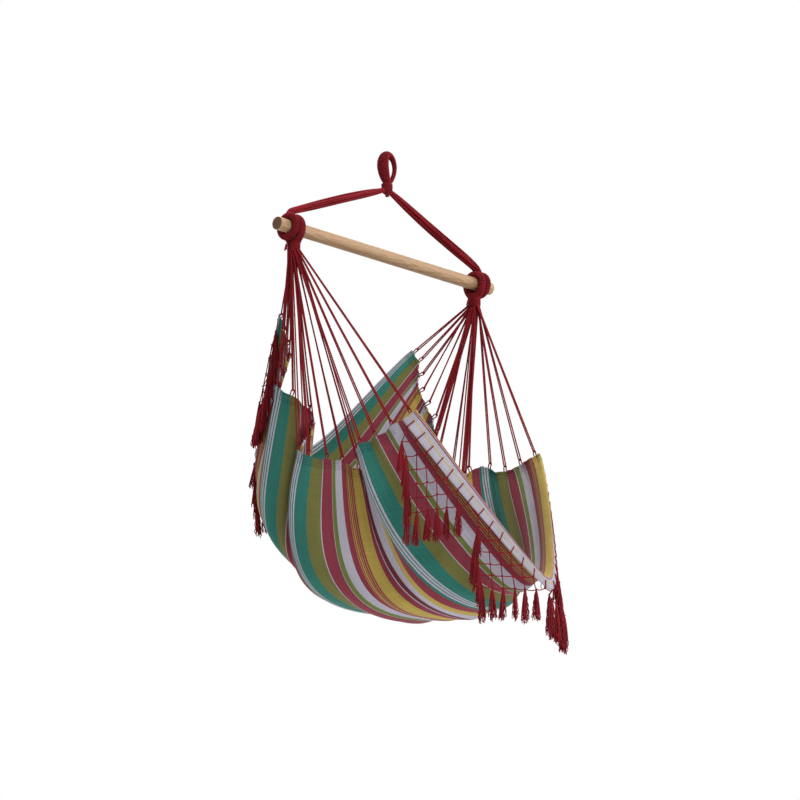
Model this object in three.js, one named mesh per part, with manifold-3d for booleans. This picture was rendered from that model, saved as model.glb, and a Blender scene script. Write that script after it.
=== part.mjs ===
import * as THREE from "three";
import Module from "manifold-3d";

// A hanging hammock chair: a striped cotton cloth slung by two fans of cords from a wooden
// spreader bar, which hangs by two rope legs from one whipped eye.
// Millimetres, +Z up. The origin is the inside top of the eye's hole, where the hook bears.
// X runs along the bar, and the sitter faces -Y. Left and right are the viewer's, facing +Y.

// Overall sizes
const bar_length = 850;
const bar_diameter = 35;
const bearing_to_bar = 282;
const hem_half_span = 270;
const seat_depth = 850;
const seat_drop = 1018;
const cloth_length = 1321;
const cloth_thickness = 2;
const gap = 0.3;

// Eye, neck and yoke
const eye_hole_width = 36;
const eye_hole_height = 58;
const eye_bundle_diameter = 17;
const eye_bundle_depth = 24;
const eye_wrap_diameter = 3.2;
const eye_wrap_turns = 12;
const neck_diameter = 31;
const neck_height = 17;
const neck_wrap_diameter = 3.2;
const neck_wrap_turns = 3;
const tail_length = 32;
const tail_diameter = 3.4;
const leg_width = 30;
const leg_depth = 26;
const leg_bend = 30;

// Rings on the bar, and the necks under them where the cords gather
const ring_bundle = 20;
const ring_clearance = 1;
const bar_end_margin = 32;
const fan_neck_height = 19;
const fan_neck_margin = 2;

// Cords, and the lace along each hem that holds them
const cord_diameter = 3.6;
const cord_pairs = 20;
const cord_row_clearance = 1.4;
const cord_column_clearance = 1.8;
const pairs_per_column = 3;
const lace_diameter = 2.4;
const lace_loop_width = 13;
const lace_loop_height = 17;
const hem_end_margin = 18;
const bight_clearance = 1.2;
const lace_clearance = 0.54;

// Fringes along the front and back edges: nets that narrow to points
const front_points = 4;
const front_point_stitches = 6;
const front_row_depth = 26.6;
const back_stitches = 26;
const back_rows = 4;
const back_row_depth = 22;
const strand_width = 3;
const strand_thickness = 3;
const knot_width = 6;
const tassel_length = 88;
const tassel_width = 13;
const tassel_thickness = 9;
const back_fringe_clearance = 14;

// Rows of the cloth from the back edge to the front, as shares of its length
const row_shares = [0, 0.076, 0.151, 0.26, 0.326, 0.371, 0.439, 0.521, 0.598, 0.651, 0.719,
  0.781, 0.829, 0.883, 0.966, 1];
// Hem and keel places on those rows: shares of the half span, the seat's depth and its drop
const left_hem_shares = [
  [-0.989, 0.165, -0.183], [-0.944, 0.159, -0.236], [-0.926, 0.14, -0.299],
  [-1.111, 0.133, -0.393], [-1.037, 0.072, -0.426], [-0.72, 0.104, -0.454],
  [-0.907, 0.056, -0.516], [-1.148, 0.034, -0.576], [-1.037, -0.044, -0.602],
  [-0.963, -0.087, -0.607], [-0.76, -0.12, -0.629], [-1, -0.161, -0.587],
  [-1, -0.221, -0.575], [-1, -0.282, -0.56], [-0.97, -0.4, -0.521],
  [-1.07, -0.378, -0.548]];
const right_hem_shares = [
  [0.989, 0.176, -0.178], [0.981, 0.141, -0.221], [0.926, 0.129, -0.295],
  [1.074, 0.112, -0.372], [1.026, 0.085, -0.436], [0.889, 0.066, -0.478],
  [0.741, 0.025, -0.505], [1.056, 0.004, -0.535], [1.037, -0.028, -0.565],
  [0.963, -0.053, -0.589], [0.796, -0.08, -0.58], [1.019, -0.112, -0.537],
  [1.019, -0.176, -0.562], [1.019, -0.249, -0.561], [1.007, -0.353, -0.537],
  [1.1, -0.336, -0.566]];
const keel_shares = [
  [-0.37, 0.341, -0.511], [-0.259, 0.353, -0.589], [-0.185, 0.347, -0.665],
  [0, 0.306, -0.79], [0, 0.265, -0.845], [0, 0.224, -0.876],
  [0, 0.165, -0.914], [0, 0.059, -0.953], [0, -0.071, -0.982],
  [0, -0.165, -0.995], [0, -0.282, -0.996], [0, -0.376, -0.985],
  [0, -0.441, -0.973], [0, -0.518, -0.958], [0, -0.646, -0.934],
  [0, -0.659, -0.968]];
// How round each row hangs between hem and keel, as a share of the straight distance
const fullness_shares = [0.26, 0.32, 0.42, 0.5, 0.5, 0.5, 0.5, 0.5, 0.5, 0.5, 0.5, 0.45, 0.38,
  0.25, 0.1, 0.1];
// How far the left flank bags towards the back, as shares of the seat's depth
const left_bag_shares = [0, 0.059, 0.076, 0.03, 0.024, 0.035, 0.06, 0.094, 0.088, 0.065, 0.029,
  0, 0, 0, 0, 0];

// Mesh counts
const bar_sides = 32;
const ring_sides = 16;
const bundle_sides = 8;
const cord_sides = 5;
const lace_sides = 3;
const wrap_sides = 4;
const wrap_steps = 6;
const ball_steps = 6;
const edge_steps = 200;
const cloth_columns = 18;
const rows_between = 2;
const bight_steps = 4;

const wasm = await Module();
wasm.setup();

const chair = new THREE.Group();
const crimson = new THREE.MeshStandardMaterial({ color: 0x82141e, roughness: 0.85, metalness: 0 });
const beech = new THREE.MeshStandardMaterial({ color: 0xcda57d, roughness: 0.55, metalness: 0 });
const cotton = new THREE.MeshStandardMaterial({ color: 0x2d8273, roughness: 0.9, metalness: 0 });

const x_axis = new THREE.Vector3(1, 0, 0);
const y_axis = new THREE.Vector3(0, 1, 0);
const down = new THREE.Vector3(0, 0, -1);
const small_share = 0.01;
const bar_centre = new THREE.Vector3(0, 0, -bearing_to_bar);
const full_turn = 2 * Math.PI;

function add_mesh(name, geometry, material) {
  const mesh = new THREE.Mesh(geometry, material);
  mesh.name = name;
  chair.add(mesh);
  return mesh;
}

// A closed solid from points and triangles, turned so that its faces point out
function solid(points, faces) {
  let volume = 0;
  for (const [a, b, c] of faces) {
    volume += points[a].dot(new THREE.Vector3().crossVectors(points[b], points[c]));
  }
  const outward = volume > 0 ? faces : faces.map(([a, b, c]) => [a, c, b]);
  const geometry = new THREE.BufferGeometry().setFromPoints(points);
  geometry.setIndex(outward.flat());
  geometry.computeVertexNormals();
  return geometry;
}

// The skin over a row of like rings of points, capped at both ends or joined into a loop
function skin(rings, looped = false) {
  const sides = rings[0].length;
  const faces = [];
  const spans = looped ? rings.length : rings.length - 1;
  for (let ring = 0; ring < spans; ring += 1) {
    const here = ring * sides;
    const next = ((ring + 1) % rings.length) * sides;
    for (let side = 0; side < sides; side += 1) {
      const beside = (side + 1) % sides;
      faces.push([here + side, here + beside, next + beside]);
      faces.push([here + side, next + beside, next + side]);
    }
  }
  if (!looped) {
    const end = (rings.length - 1) * sides;
    for (let side = 1; side < sides - 1; side += 1) {
      faces.push([0, side + 1, side]);
      faces.push([end, end + side, end + side + 1]);
    }
  }
  return solid(rings.flat(), faces);
}

// The unit direction of a path at each of its points
function directions(path, looped = false) {
  return path.map((point, index) => {
    const before = looped ? path.at(index - 1) : path[Math.max(index - 1, 0)];
    const after = looped ? path[(index + 1) % path.length] : path[Math.min(index + 1, path.length - 1)];
    return after.clone().sub(before).normalize();
  });
}

// Two cross directions at each point of a path, the first as near as can be to a given one
function cross_frames(path, across, looped = false) {
  return directions(path, looped).map((along) => {
    const first = across.clone().addScaledVector(along, -across.dot(along)).normalize();
    return [first, new THREE.Vector3().crossVectors(along, first)];
  });
}

// Two cross directions at each point of a path that bends every way, carried with no twist
function carried_frames(path) {
  const along = directions(path);
  let first = new THREE.Vector3().crossVectors(along[0], x_axis).normalize();
  return along.map((direction, index) => {
    if (index > 0) {
      const turn = new THREE.Quaternion().setFromUnitVectors(along[index - 1], direction);
      first = first.clone().applyQuaternion(turn);
    }
    return [first, new THREE.Vector3().crossVectors(direction, first)];
  });
}

// A tube of oval section along a path; half sizes are one value or one for each point
function tube(path, frames, half_first, half_second, sides, looped = false) {
  const rings = path.map((point, index) => {
    const a = half_first[index] ?? half_first;
    const b = half_second[index] ?? half_second;
    const [first, second] = frames[index];
    return Array.from({ length: sides }, (_, side) => {
      const angle = (side + 0.5) / sides * full_turn;
      return point.clone()
        .addScaledVector(first, a * Math.cos(angle))
        .addScaledVector(second, b * Math.sin(angle));
    });
  });
  return skin(rings, looped);
}

// A winding round a path: a helix at one distance from it
function winding(centre_at, frame_at, radius, turns, steps) {
  return Array.from({ length: turns * steps + 1 }, (_, index) => {
    const share = index / (turns * steps);
    const angle = index / steps * full_turn;
    const [first, second] = frame_at(share);
    return centre_at(share)
      .addScaledVector(first, radius * Math.cos(angle))
      .addScaledVector(second, radius * Math.sin(angle));
  });
}

// The least gap of a wound tube to its own other turns, measured on its points and printed
function print_gap(name, path, diameter, steps, looped = false) {
  let least = Infinity;
  for (let a = 0; a < path.length; a += 1) {
    for (let b = a + steps / 2; b < path.length; b += 1) {
      if (!looped || path.length - b + a > steps / 2) {
        least = Math.min(least, path[a].distanceTo(path[b]) - diameter);
      }
    }
  }
  console.log(`${name}: least gap between turns ${least.toFixed(2)} mm`);
}

function to_manifold(geometry) {
  return new wasm.Manifold(new wasm.Mesh({
    numProp: 3,
    vertProperties: new Float32Array(geometry.attributes.position.array),
    triVerts: new Uint32Array(geometry.index.array),
  }));
}

// Joins closed geometries that run into each other into one
function joined(geometries) {
  const [first, ...others] = geometries.map(to_manifold);
  const result = others.reduce((whole, other) => whole.add(other), first).getMesh();
  const geometry = new THREE.BufferGeometry();
  geometry.setAttribute("position", new THREE.BufferAttribute(result.vertProperties, result.numProp));
  geometry.setIndex(new THREE.BufferAttribute(result.triVerts, 1));
  geometry.computeVertexNormals();
  return geometry;
}

// Spreader bar: a turned round rod with flat sawn ends
function make_bar() {
  const bar = new THREE.CylinderGeometry(bar_diameter / 2, bar_diameter / 2, bar_length, bar_sides);
  bar.rotateZ(Math.PI / 2);
  add_mesh("spreader_bar", bar, beech).position.copy(bar_centre);
}

// Hanging eye: a teardrop loop of rope, served all round with one cord
const eye_half_width = (eye_hole_width + eye_bundle_diameter) / 2;
const eye_half_height = (eye_hole_height + eye_bundle_diameter) / 2;
const eye_middle = eye_bundle_diameter / 2 - eye_half_height;
const eye_pinch_share = 0.16;
const eye_curve = new THREE.CatmullRomCurve3(Array.from({ length: eye_wrap_turns }, (_, index) => {
  const angle = index / eye_wrap_turns * full_turn;
  const pinch = 1 - eye_pinch_share * (1 - Math.cos(angle)) / 2;
  return new THREE.Vector3(eye_half_width * pinch * Math.sin(angle), 0,
    eye_middle + eye_half_height * Math.cos(angle));
}), true);

const eye_depth_scale = new THREE.Vector3(1, eye_bundle_depth / eye_bundle_diameter, 1);

function eye_frame(share) {
  return [y_axis, new THREE.Vector3().crossVectors(eye_curve.getTangentAt(share), y_axis)];
}

function eye_geometry() {
  const core_radius = (eye_bundle_diameter - eye_wrap_diameter) / 2;
  const core_path = Array.from({ length: eye_wrap_turns }, (_, index) => (
    eye_curve.getPointAt(index / eye_wrap_turns)));
  const core = tube(core_path, cross_frames(core_path, y_axis, true), core_radius, core_radius,
    bundle_sides, true);
  const wrap_radius = (eye_bundle_diameter - eye_wrap_diameter) / 2;
  const wrap_path = winding((share) => eye_curve.getPointAt(share % 1), (share) => eye_frame(share % 1),
    wrap_radius, eye_wrap_turns, wrap_steps).slice(0, -1);
  print_gap("hanging_eye", wrap_path, eye_wrap_diameter, wrap_steps, true);
  const along = directions(wrap_path, true);
  const wrap_frames = wrap_path.map((point, index) => {
    const outward = point.clone().sub(eye_curve.getPointAt(index / wrap_path.length)).normalize();
    return [outward, new THREE.Vector3().crossVectors(along[index], outward).normalize()];
  });
  const half = eye_wrap_diameter / 2;
  const wrap = tube(wrap_path, wrap_frames, half, half, wrap_sides, true);
  return joined([core, wrap]).scale(eye_depth_scale.x, eye_depth_scale.y, eye_depth_scale.z);
}

const eye = add_mesh("hanging_eye", eye_geometry(), crimson);
const eye_low = new THREE.Box3().setFromObject(eye).min.z;

// Neck: the seizing that closes the eye, over a ball that the rope legs turn about
const neck_top = eye_low - gap;
const neck_radius = neck_diameter / 2;
const pivot = new THREE.Vector3(0, 0, neck_top - neck_height);
const tail_places_shares = [[-0.4, -0.35, 0.8], [0.35, -0.45, 1], [0.45, 0.3, 0.85], [-0.3, 0.45, 0.95]];

function make_neck() {
  const core_radius = neck_radius - neck_wrap_diameter / 2;
  const profile = [new THREE.Vector2(0, -neck_radius)];
  for (let step = 1; step < ball_steps; step += 1) {
    const angle = step / ball_steps * Math.PI / 2;
    profile.push(new THREE.Vector2(neck_radius * Math.sin(angle), -neck_radius * Math.cos(angle)));
  }
  profile.push(new THREE.Vector2(neck_radius, 0));
  profile.push(new THREE.Vector2(core_radius, neck_wrap_diameter / 2));
  profile.push(new THREE.Vector2(core_radius, neck_height));
  profile.push(new THREE.Vector2(0, neck_height));
  const core = new THREE.LatheGeometry(profile, ring_sides);
  core.rotateX(Math.PI / 2);
  core.translate(pivot.x, pivot.y, pivot.z);
  const wrap_low = pivot.z + neck_wrap_diameter;
  const wrap_rise = neck_height - neck_wrap_diameter - neck_wrap_diameter / 2;
  const centre_at = (share) => new THREE.Vector3(0, 0, wrap_low + wrap_rise * share);
  const steps = wrap_steps * 2;
  const radius = neck_radius - neck_wrap_diameter / 2;
  const path = winding(centre_at, () => [x_axis, y_axis], radius, neck_wrap_turns, steps);
  print_gap("neck_seizing", path, neck_wrap_diameter, steps);
  const half = neck_wrap_diameter / 2;
  const wrap = tube(path, cross_frames(path, down), half, half, cord_sides);
  const tails = tail_places_shares.map(([x_share, y_share, length_share]) => {
    const start = new THREE.Vector3(x_share * neck_radius, y_share * neck_radius, -neck_radius / 2);
    const end = start.clone().addScaledVector(down, tail_length * length_share);
    const tail_path = [start.add(pivot), end.add(pivot)];
    const tail_half = tail_diameter / 2;
    return tube(tail_path, cross_frames(tail_path, x_axis), tail_half, tail_half, cord_sides);
  });
  add_mesh("neck_seizing", joined([merged_lathe(core), wrap, ...tails]), crimson);
}

// A lathe's points joined where its seam and poles meet
function merged_lathe(lathe) {
  const points = [];
  const seen = new Map();
  const place = lathe.attributes.position;
  const numbers = Array.from({ length: place.count }, (_, index) => {
    const point = new THREE.Vector3().fromBufferAttribute(place, index);
    const key = point.toArray().map((value) => Math.round(value * 1e4)).join();
    if (!seen.has(key)) {
      seen.set(key, points.push(point) - 1);
    }
    return seen.get(key);
  });
  const faces = [];
  for (let index = 0; index < lathe.index.count; index += 3) {
    const face = [0, 1, 2].map((corner) => numbers[lathe.index.getX(index + corner)]);
    if (new Set(face).size === 3) {
      faces.push(face);
    }
  }
  return solid(points, faces);
}

// Whipped rings round the bar: the fan's inboard, the yoke's outboard of it
const ring_pitch = ring_bundle + ring_clearance;
const fan_ring_offset = bar_length / 2 - bar_end_margin - ring_bundle / 2 - ring_pitch;
const ring_bore = (bar_diameter / 2 + gap) / Math.cos(Math.PI / ring_sides);
const ring_middle = ring_bore + ring_bundle / 2;
const ring_outside = ring_middle + ring_bundle / 2;

function make_ring(name, x) {
  const path = Array.from({ length: ring_sides }, (_, index) => {
    const angle = index / ring_sides * full_turn;
    return new THREE.Vector3(x, ring_middle * Math.sin(angle), ring_middle * Math.cos(angle))
      .add(bar_centre);
  });
  const half = ring_bundle / 2;
  const reach = half / Math.cos(Math.PI / bundle_sides);
  add_mesh(name, tube(path, cross_frames(path, x_axis, true), half, reach, bundle_sides, true), crimson);
}

// Rope leg of the yoke: a loose bundle of cords from the neck, over the fan's ring, to its own
const leg_fullness_shares = [0.62, 1, 1, 0.66, 0.66, 0.66];
const leg_full_shares = [0.25, 0.75];

function make_leg(name, side) {
  const half_widths = leg_fullness_shares.map((share) => share * leg_width / 2);
  const half_depths = leg_fullness_shares.map((share) => share * leg_depth / 2);
  const seat_height = -bearing_to_bar + ring_outside + gap + half_depths.at(-1);
  const bend = new THREE.Vector3(side * (fan_ring_offset - leg_bend), 0, seat_height);
  const over = new THREE.Vector3(side * fan_ring_offset, 0, seat_height);
  const end = new THREE.Vector3(side * (fan_ring_offset + ring_pitch), 0, seat_height);
  const away = bend.clone().sub(pivot).normalize();
  const start = pivot.clone().addScaledVector(away, neck_radius + gap);
  const full_width = leg_full_shares.map((share) => start.clone().lerp(bend, share));
  const path = [start, ...full_width, bend, over, end];
  add_mesh(name, tube(path, cross_frames(path, y_axis), half_widths, half_depths, bundle_sides), crimson);
}

// Neck under the fan's ring, where its cords are bound together in columns and rows
const cord_columns = Math.ceil(cord_pairs / pairs_per_column);
const cord_rows = pairs_per_column * 2;
const cord_column_pitch = cord_diameter + cord_column_clearance;
const cord_row_pitch = cord_diameter + cord_row_clearance;
const cords_wide = (cord_columns - 1) * cord_column_pitch + cord_diameter;
const cords_deep = (cord_rows - 1) * cord_row_pitch + cord_diameter;
const fan_neck_width = cords_wide + fan_neck_margin * 2;
const fan_neck_depth = cords_deep + fan_neck_margin * 2;
const fan_neck_top = -bearing_to_bar - ring_outside - gap;
const fan_neck_bottom = fan_neck_top - fan_neck_height;
const fan_neck_top_share = 0.8;
const corner_power = 0.5;

function make_fan_neck(name, side) {
  const levels = [[fan_neck_top, fan_neck_top_share], [fan_neck_bottom, 1]];
  const squared = (value) => Math.sign(value) * Math.abs(value) ** corner_power;
  const sides = bundle_sides * 2;
  const rings = levels.map(([height, width_share]) => Array.from({ length: sides }, (_, index) => {
    const angle = index / sides * full_turn;
    return new THREE.Vector3(
      side * fan_ring_offset + squared(Math.cos(angle)) * width_share * fan_neck_depth / 2,
      squared(Math.sin(angle)) * width_share * fan_neck_width / 2, height);
  }));
  add_mesh(name, skin(rings), crimson);
}

// A smooth value or place between the rows of a table
function between_rows(table, row_share) {
  let row = 0;
  while (row < row_shares.length - 2 && row_share > row_shares[row + 1]) {
    row += 1;
  }
  const span = row_shares[row + 1] - row_shares[row];
  const k = (row_share - row_shares[row]) / span;
  const slope = (index) => {
    const low = Math.max(index - 1, 0);
    const high = Math.min(index + 1, table.length - 1);
    return (table[high] - table[low]) / (row_shares[high] - row_shares[low]) * span;
  };
  return (2 * k ** 3 - 3 * k ** 2 + 1) * table[row] + (k ** 3 - 2 * k ** 2 + k) * slope(row)
    + (3 * k ** 2 - 2 * k ** 3) * table[row + 1] + (k ** 3 - k ** 2) * slope(row + 1);
}

function place_between(table, row_share) {
  const [x, y, z] = [0, 1, 2].map((axis) => between_rows(table.map((row) => row[axis]), row_share));
  return new THREE.Vector3(x * hem_half_span, y * seat_depth, z * seat_drop).add(bar_centre);
}

function fan_centre(side) {
  return new THREE.Vector3(side * fan_ring_offset, 0, fan_neck_bottom);
}

// A place on the cloth: column -1 is the left hem, 0 the keel and 1 the right hem
function cloth_place(column, row_share) {
  const side = column < 0 ? -1 : 1;
  const hem = place_between(side < 0 ? left_hem_shares : right_hem_shares, row_share);
  const keel = place_between(keel_shares, row_share);
  const fullness = hem.distanceTo(keel) * between_rows(fullness_shares, row_share);
  const bag = side < 0 ? seat_depth * between_rows(left_bag_shares, row_share) : 0;
  const pull = hem.clone().sub(fan_centre(side)).normalize();
  const hem_handle = hem.clone().addScaledVector(pull, fullness).addScaledVector(y_axis, bag);
  const keel_handle = keel.clone().addScaledVector(x_axis, side * fullness).addScaledVector(y_axis, bag);
  return new THREE.CubicBezierCurve3(hem, hem_handle, keel_handle, keel).getPoint(1 - Math.abs(column));
}

// The cloth's outward direction at a place
function cloth_outward(column, row_share) {
  const start_column = Math.max(column - small_share, -1);
  const end_column = Math.min(column + small_share, 1);
  const start_row = Math.max(row_share - small_share, 0);
  const end_row = Math.min(row_share + small_share, 1);
  const across = cloth_place(end_column, row_share).sub(cloth_place(start_column, row_share));
  const along = cloth_place(column, end_row).sub(cloth_place(column, start_row));
  return new THREE.Vector3().crossVectors(across, along).normalize();
}

// Rows of the cloth's mesh: every row of the table, and the ones between
const mesh_rows = row_shares.flatMap((share, row) => {
  if (row === row_shares.length - 1) {
    return [share];
  }
  return Array.from({ length: rows_between }, (_, step) => (
    share + (row_shares[row + 1] - share) * step / rows_between));
});

// Seat cloth: one sheet with its hanging folds, its front edge turned out and down
function make_cloth() {
  const columns = Array.from({ length: cloth_columns + 1 }, (_, index) => index / cloth_columns * 2 - 1);
  const across_count = columns.length;
  const along_count = mesh_rows.length;
  const layers = [];
  for (const direction of [1, -1]) {
    for (const row of mesh_rows) {
      for (const column of columns) {
        layers.push(cloth_place(column, row)
          .addScaledVector(cloth_outward(column, row), direction * cloth_thickness / 2));
      }
    }
  }
  const faces = [];
  const layer = across_count * along_count;
  const quad = (a, b, c, d) => faces.push([a, b, c], [a, c, d]);
  for (let row = 0; row < along_count - 1; row += 1) {
    for (let column = 0; column < across_count - 1; column += 1) {
      const a = row * across_count + column;
      const b = a + across_count;
      quad(a, a + 1, b + 1, b);
      quad(layer + a, layer + b, layer + b + 1, layer + a + 1);
    }
  }
  for (let row = 0; row < along_count - 1; row += 1) {
    const a = row * across_count;
    const b = a + across_count;
    quad(a, b, layer + b, layer + a);
    const [a_end, b_end] = [a + across_count - 1, b + across_count - 1];
    quad(a_end, layer + a_end, layer + b_end, b_end);
  }
  for (let column = 0; column < across_count - 1; column += 1) {
    const end = layer - across_count + column;
    quad(column, layer + column, layer + column + 1, column + 1);
    quad(end, end + 1, layer + end + 1, layer + end);
  }
  add_mesh("seat_cloth", solid(layers, faces), cotton);
}

// Where each cord pair meets the hem, as shares of the cloth's length
const pair_rows = Array.from({ length: cord_pairs }, (_, pair) => (
  (hem_end_margin + (row_shares.at(-2) * cloth_length - 2 * hem_end_margin) * pair / (cord_pairs - 1))
  / cloth_length));

// A place on the hem's own edge, straight between the rows of the cloth's mesh
function hem_edge(side, row_share) {
  const after = Math.max(mesh_rows.findIndex((row) => row >= row_share), 1);
  const [start, end] = [mesh_rows[after - 1], mesh_rows[after]];
  return cloth_place(side, start).lerp(cloth_place(side, end), (row_share - start) / (end - start));
}

const hem_step_share = 0.004;
const loop_lean_share = 2;

// The directions at a place on the hem: up its cord, across the cord along the hem, out of the
// cloth, away from the cloth square to the hem, and the way the lace's loop stands, between
// the last and its cord
function hem_frame(side, row_share) {
  const place = hem_edge(side, row_share);
  const up = fan_centre(side).sub(place).normalize();
  const edge = hem_edge(side, row_share + hem_step_share)
    .sub(hem_edge(side, row_share - hem_step_share)).normalize();
  const along = edge.clone().addScaledVector(up, -edge.dot(up)).normalize();
  const away = up.clone().addScaledVector(edge, -edge.dot(up)).normalize();
  const out = new THREE.Vector3().crossVectors(along, up).normalize();
  const stand = up.clone().addScaledVector(away, loop_lean_share).normalize();
  return { place, up, along, out, away, stand };
}

// Each pair's column and first row where the cords gather: columns in the order in which the
// cords slope from back to front, and within a column the one that slopes farther out outboard
function gather_places(side) {
  const hems = pair_rows.map((row_share, pair) => {
    const fall = cloth_place(side, row_share).sub(fan_centre(side));
    return { pair, back_slope: -fall.y / fall.z, out_slope: -side * fall.x / fall.z };
  });
  hems.sort((a, b) => b.back_slope - a.back_slope);
  const places = [];
  for (let start = 0; start < cord_pairs; start += pairs_per_column) {
    const column = hems.slice(start, start + pairs_per_column);
    column.sort((a, b) => a.out_slope - b.out_slope);
    column.forEach(({ pair }, order) => {
      places[pair] = [start / pairs_per_column, order * 2];
    });
  }
  return places;
}

// Cord pair: one cord that runs from the fan's neck, through its lace loop, and back up
const bight_radius = (lace_diameter + cord_diameter) / 2 + bight_clearance;
const bight_height = lace_loop_height - lace_diameter - cord_diameter / 2 - gap;

function make_pair(name, side, pair) {
  const { place, up, along, out, stand } = hem_frame(side, pair_rows[pair]);
  const [column, first_row] = gather_places(side)[pair];
  const top_y = ((cord_columns - 1) / 2 - column) * cord_column_pitch;
  const tops = [0, 1].map((which) => new THREE.Vector3(
    side * (fan_ring_offset - ((cord_rows - 1) / 2 - first_row - which) * cord_row_pitch),
    top_y, fan_neck_bottom - gap));
  const outer_first = side * out.x > 0 ? [tops[1], tops[0]] : tops;
  const centre = place.clone().addScaledVector(stand, bight_height).addScaledVector(up, bight_radius);
  const bight = Array.from({ length: bight_steps + 1 }, (_, step) => {
    const angle = step / bight_steps * Math.PI;
    return centre.clone()
      .addScaledVector(out, bight_radius * Math.cos(angle))
      .addScaledVector(up, -bight_radius * Math.sin(angle));
  });
  const lead = cord_diameter;
  const below_top = outer_first.map((top) => top.clone().addScaledVector(down, lead));
  const path = [outer_first[0], below_top[0], ...bight, below_top[1], outer_first[1]];
  const half = cord_diameter / 2;
  add_mesh(name, tube(path, cross_frames(path, along), half, half, cord_sides), crimson);
}

// Hem lace: one cord along the hem's edge that stands up in a loop for each cord pair
const lace_rest = lace_diameter / 2 + cloth_thickness / 2 + lace_clearance;
const shoulder_share = 0.6;
const sharpest_turn = Math.PI * 0.52;

// Cuts each sharp corner of a path into two gentler ones
function eased(path, reach) {
  const along = path.slice(1).map((point, index) => point.clone().sub(path[index]).normalize());
  return path.flatMap((point, index) => {
    if (index === 0 || index === path.length - 1) {
      return [point];
    }
    if (along[index - 1].dot(along[index]) > Math.cos(sharpest_turn)) {
      return [point];
    }
    return [
      point.clone().addScaledVector(along[index - 1], -reach),
      point.clone().addScaledVector(along[index], reach)];
  });
}

function make_lace(name, side) {
  const half_share = lace_loop_width / 2 / cloth_length;
  const shoulder = lace_loop_width / 2 * shoulder_share;
  const path = [];
  const rest_on_hem = (row_share) => {
    const { place, away } = hem_frame(side, row_share);
    path.push(place.addScaledVector(away, lace_rest));
  };
  pair_rows.forEach((row_share, pair) => {
    const { place, along, stand } = hem_frame(side, row_share);
    const top = place.clone().addScaledVector(stand, lace_loop_height - lace_diameter / 2);
    const across = along.clone().addScaledVector(stand, -along.dot(stand)).normalize();
    rest_on_hem(row_share - half_share);
    path.push(top.clone().addScaledVector(across, -shoulder));
    path.push(top.clone().addScaledVector(across, shoulder));
    rest_on_hem(row_share + half_share);
    const next_loop = pair_rows[pair + 1] ?? 0;
    mesh_rows
      .filter((row) => row > row_share + half_share * 2 && row < next_loop - half_share * 2)
      .forEach(rest_on_hem);
  });
  const half = lace_diameter / 2;
  const eased_path = eased(path, lace_diameter);
  add_mesh(name, tube(eased_path, carried_frames(eased_path), half, half, lace_sides), crimson);
}

// A fringe: a net of knotted thread along an edge, which narrows row by row to points, with a
// tassel under each knot of the points' lower sides. place_at gives the middle of the net at a
// share of the edge and a depth below it.
const tassel_root_share = 0.5;

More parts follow.
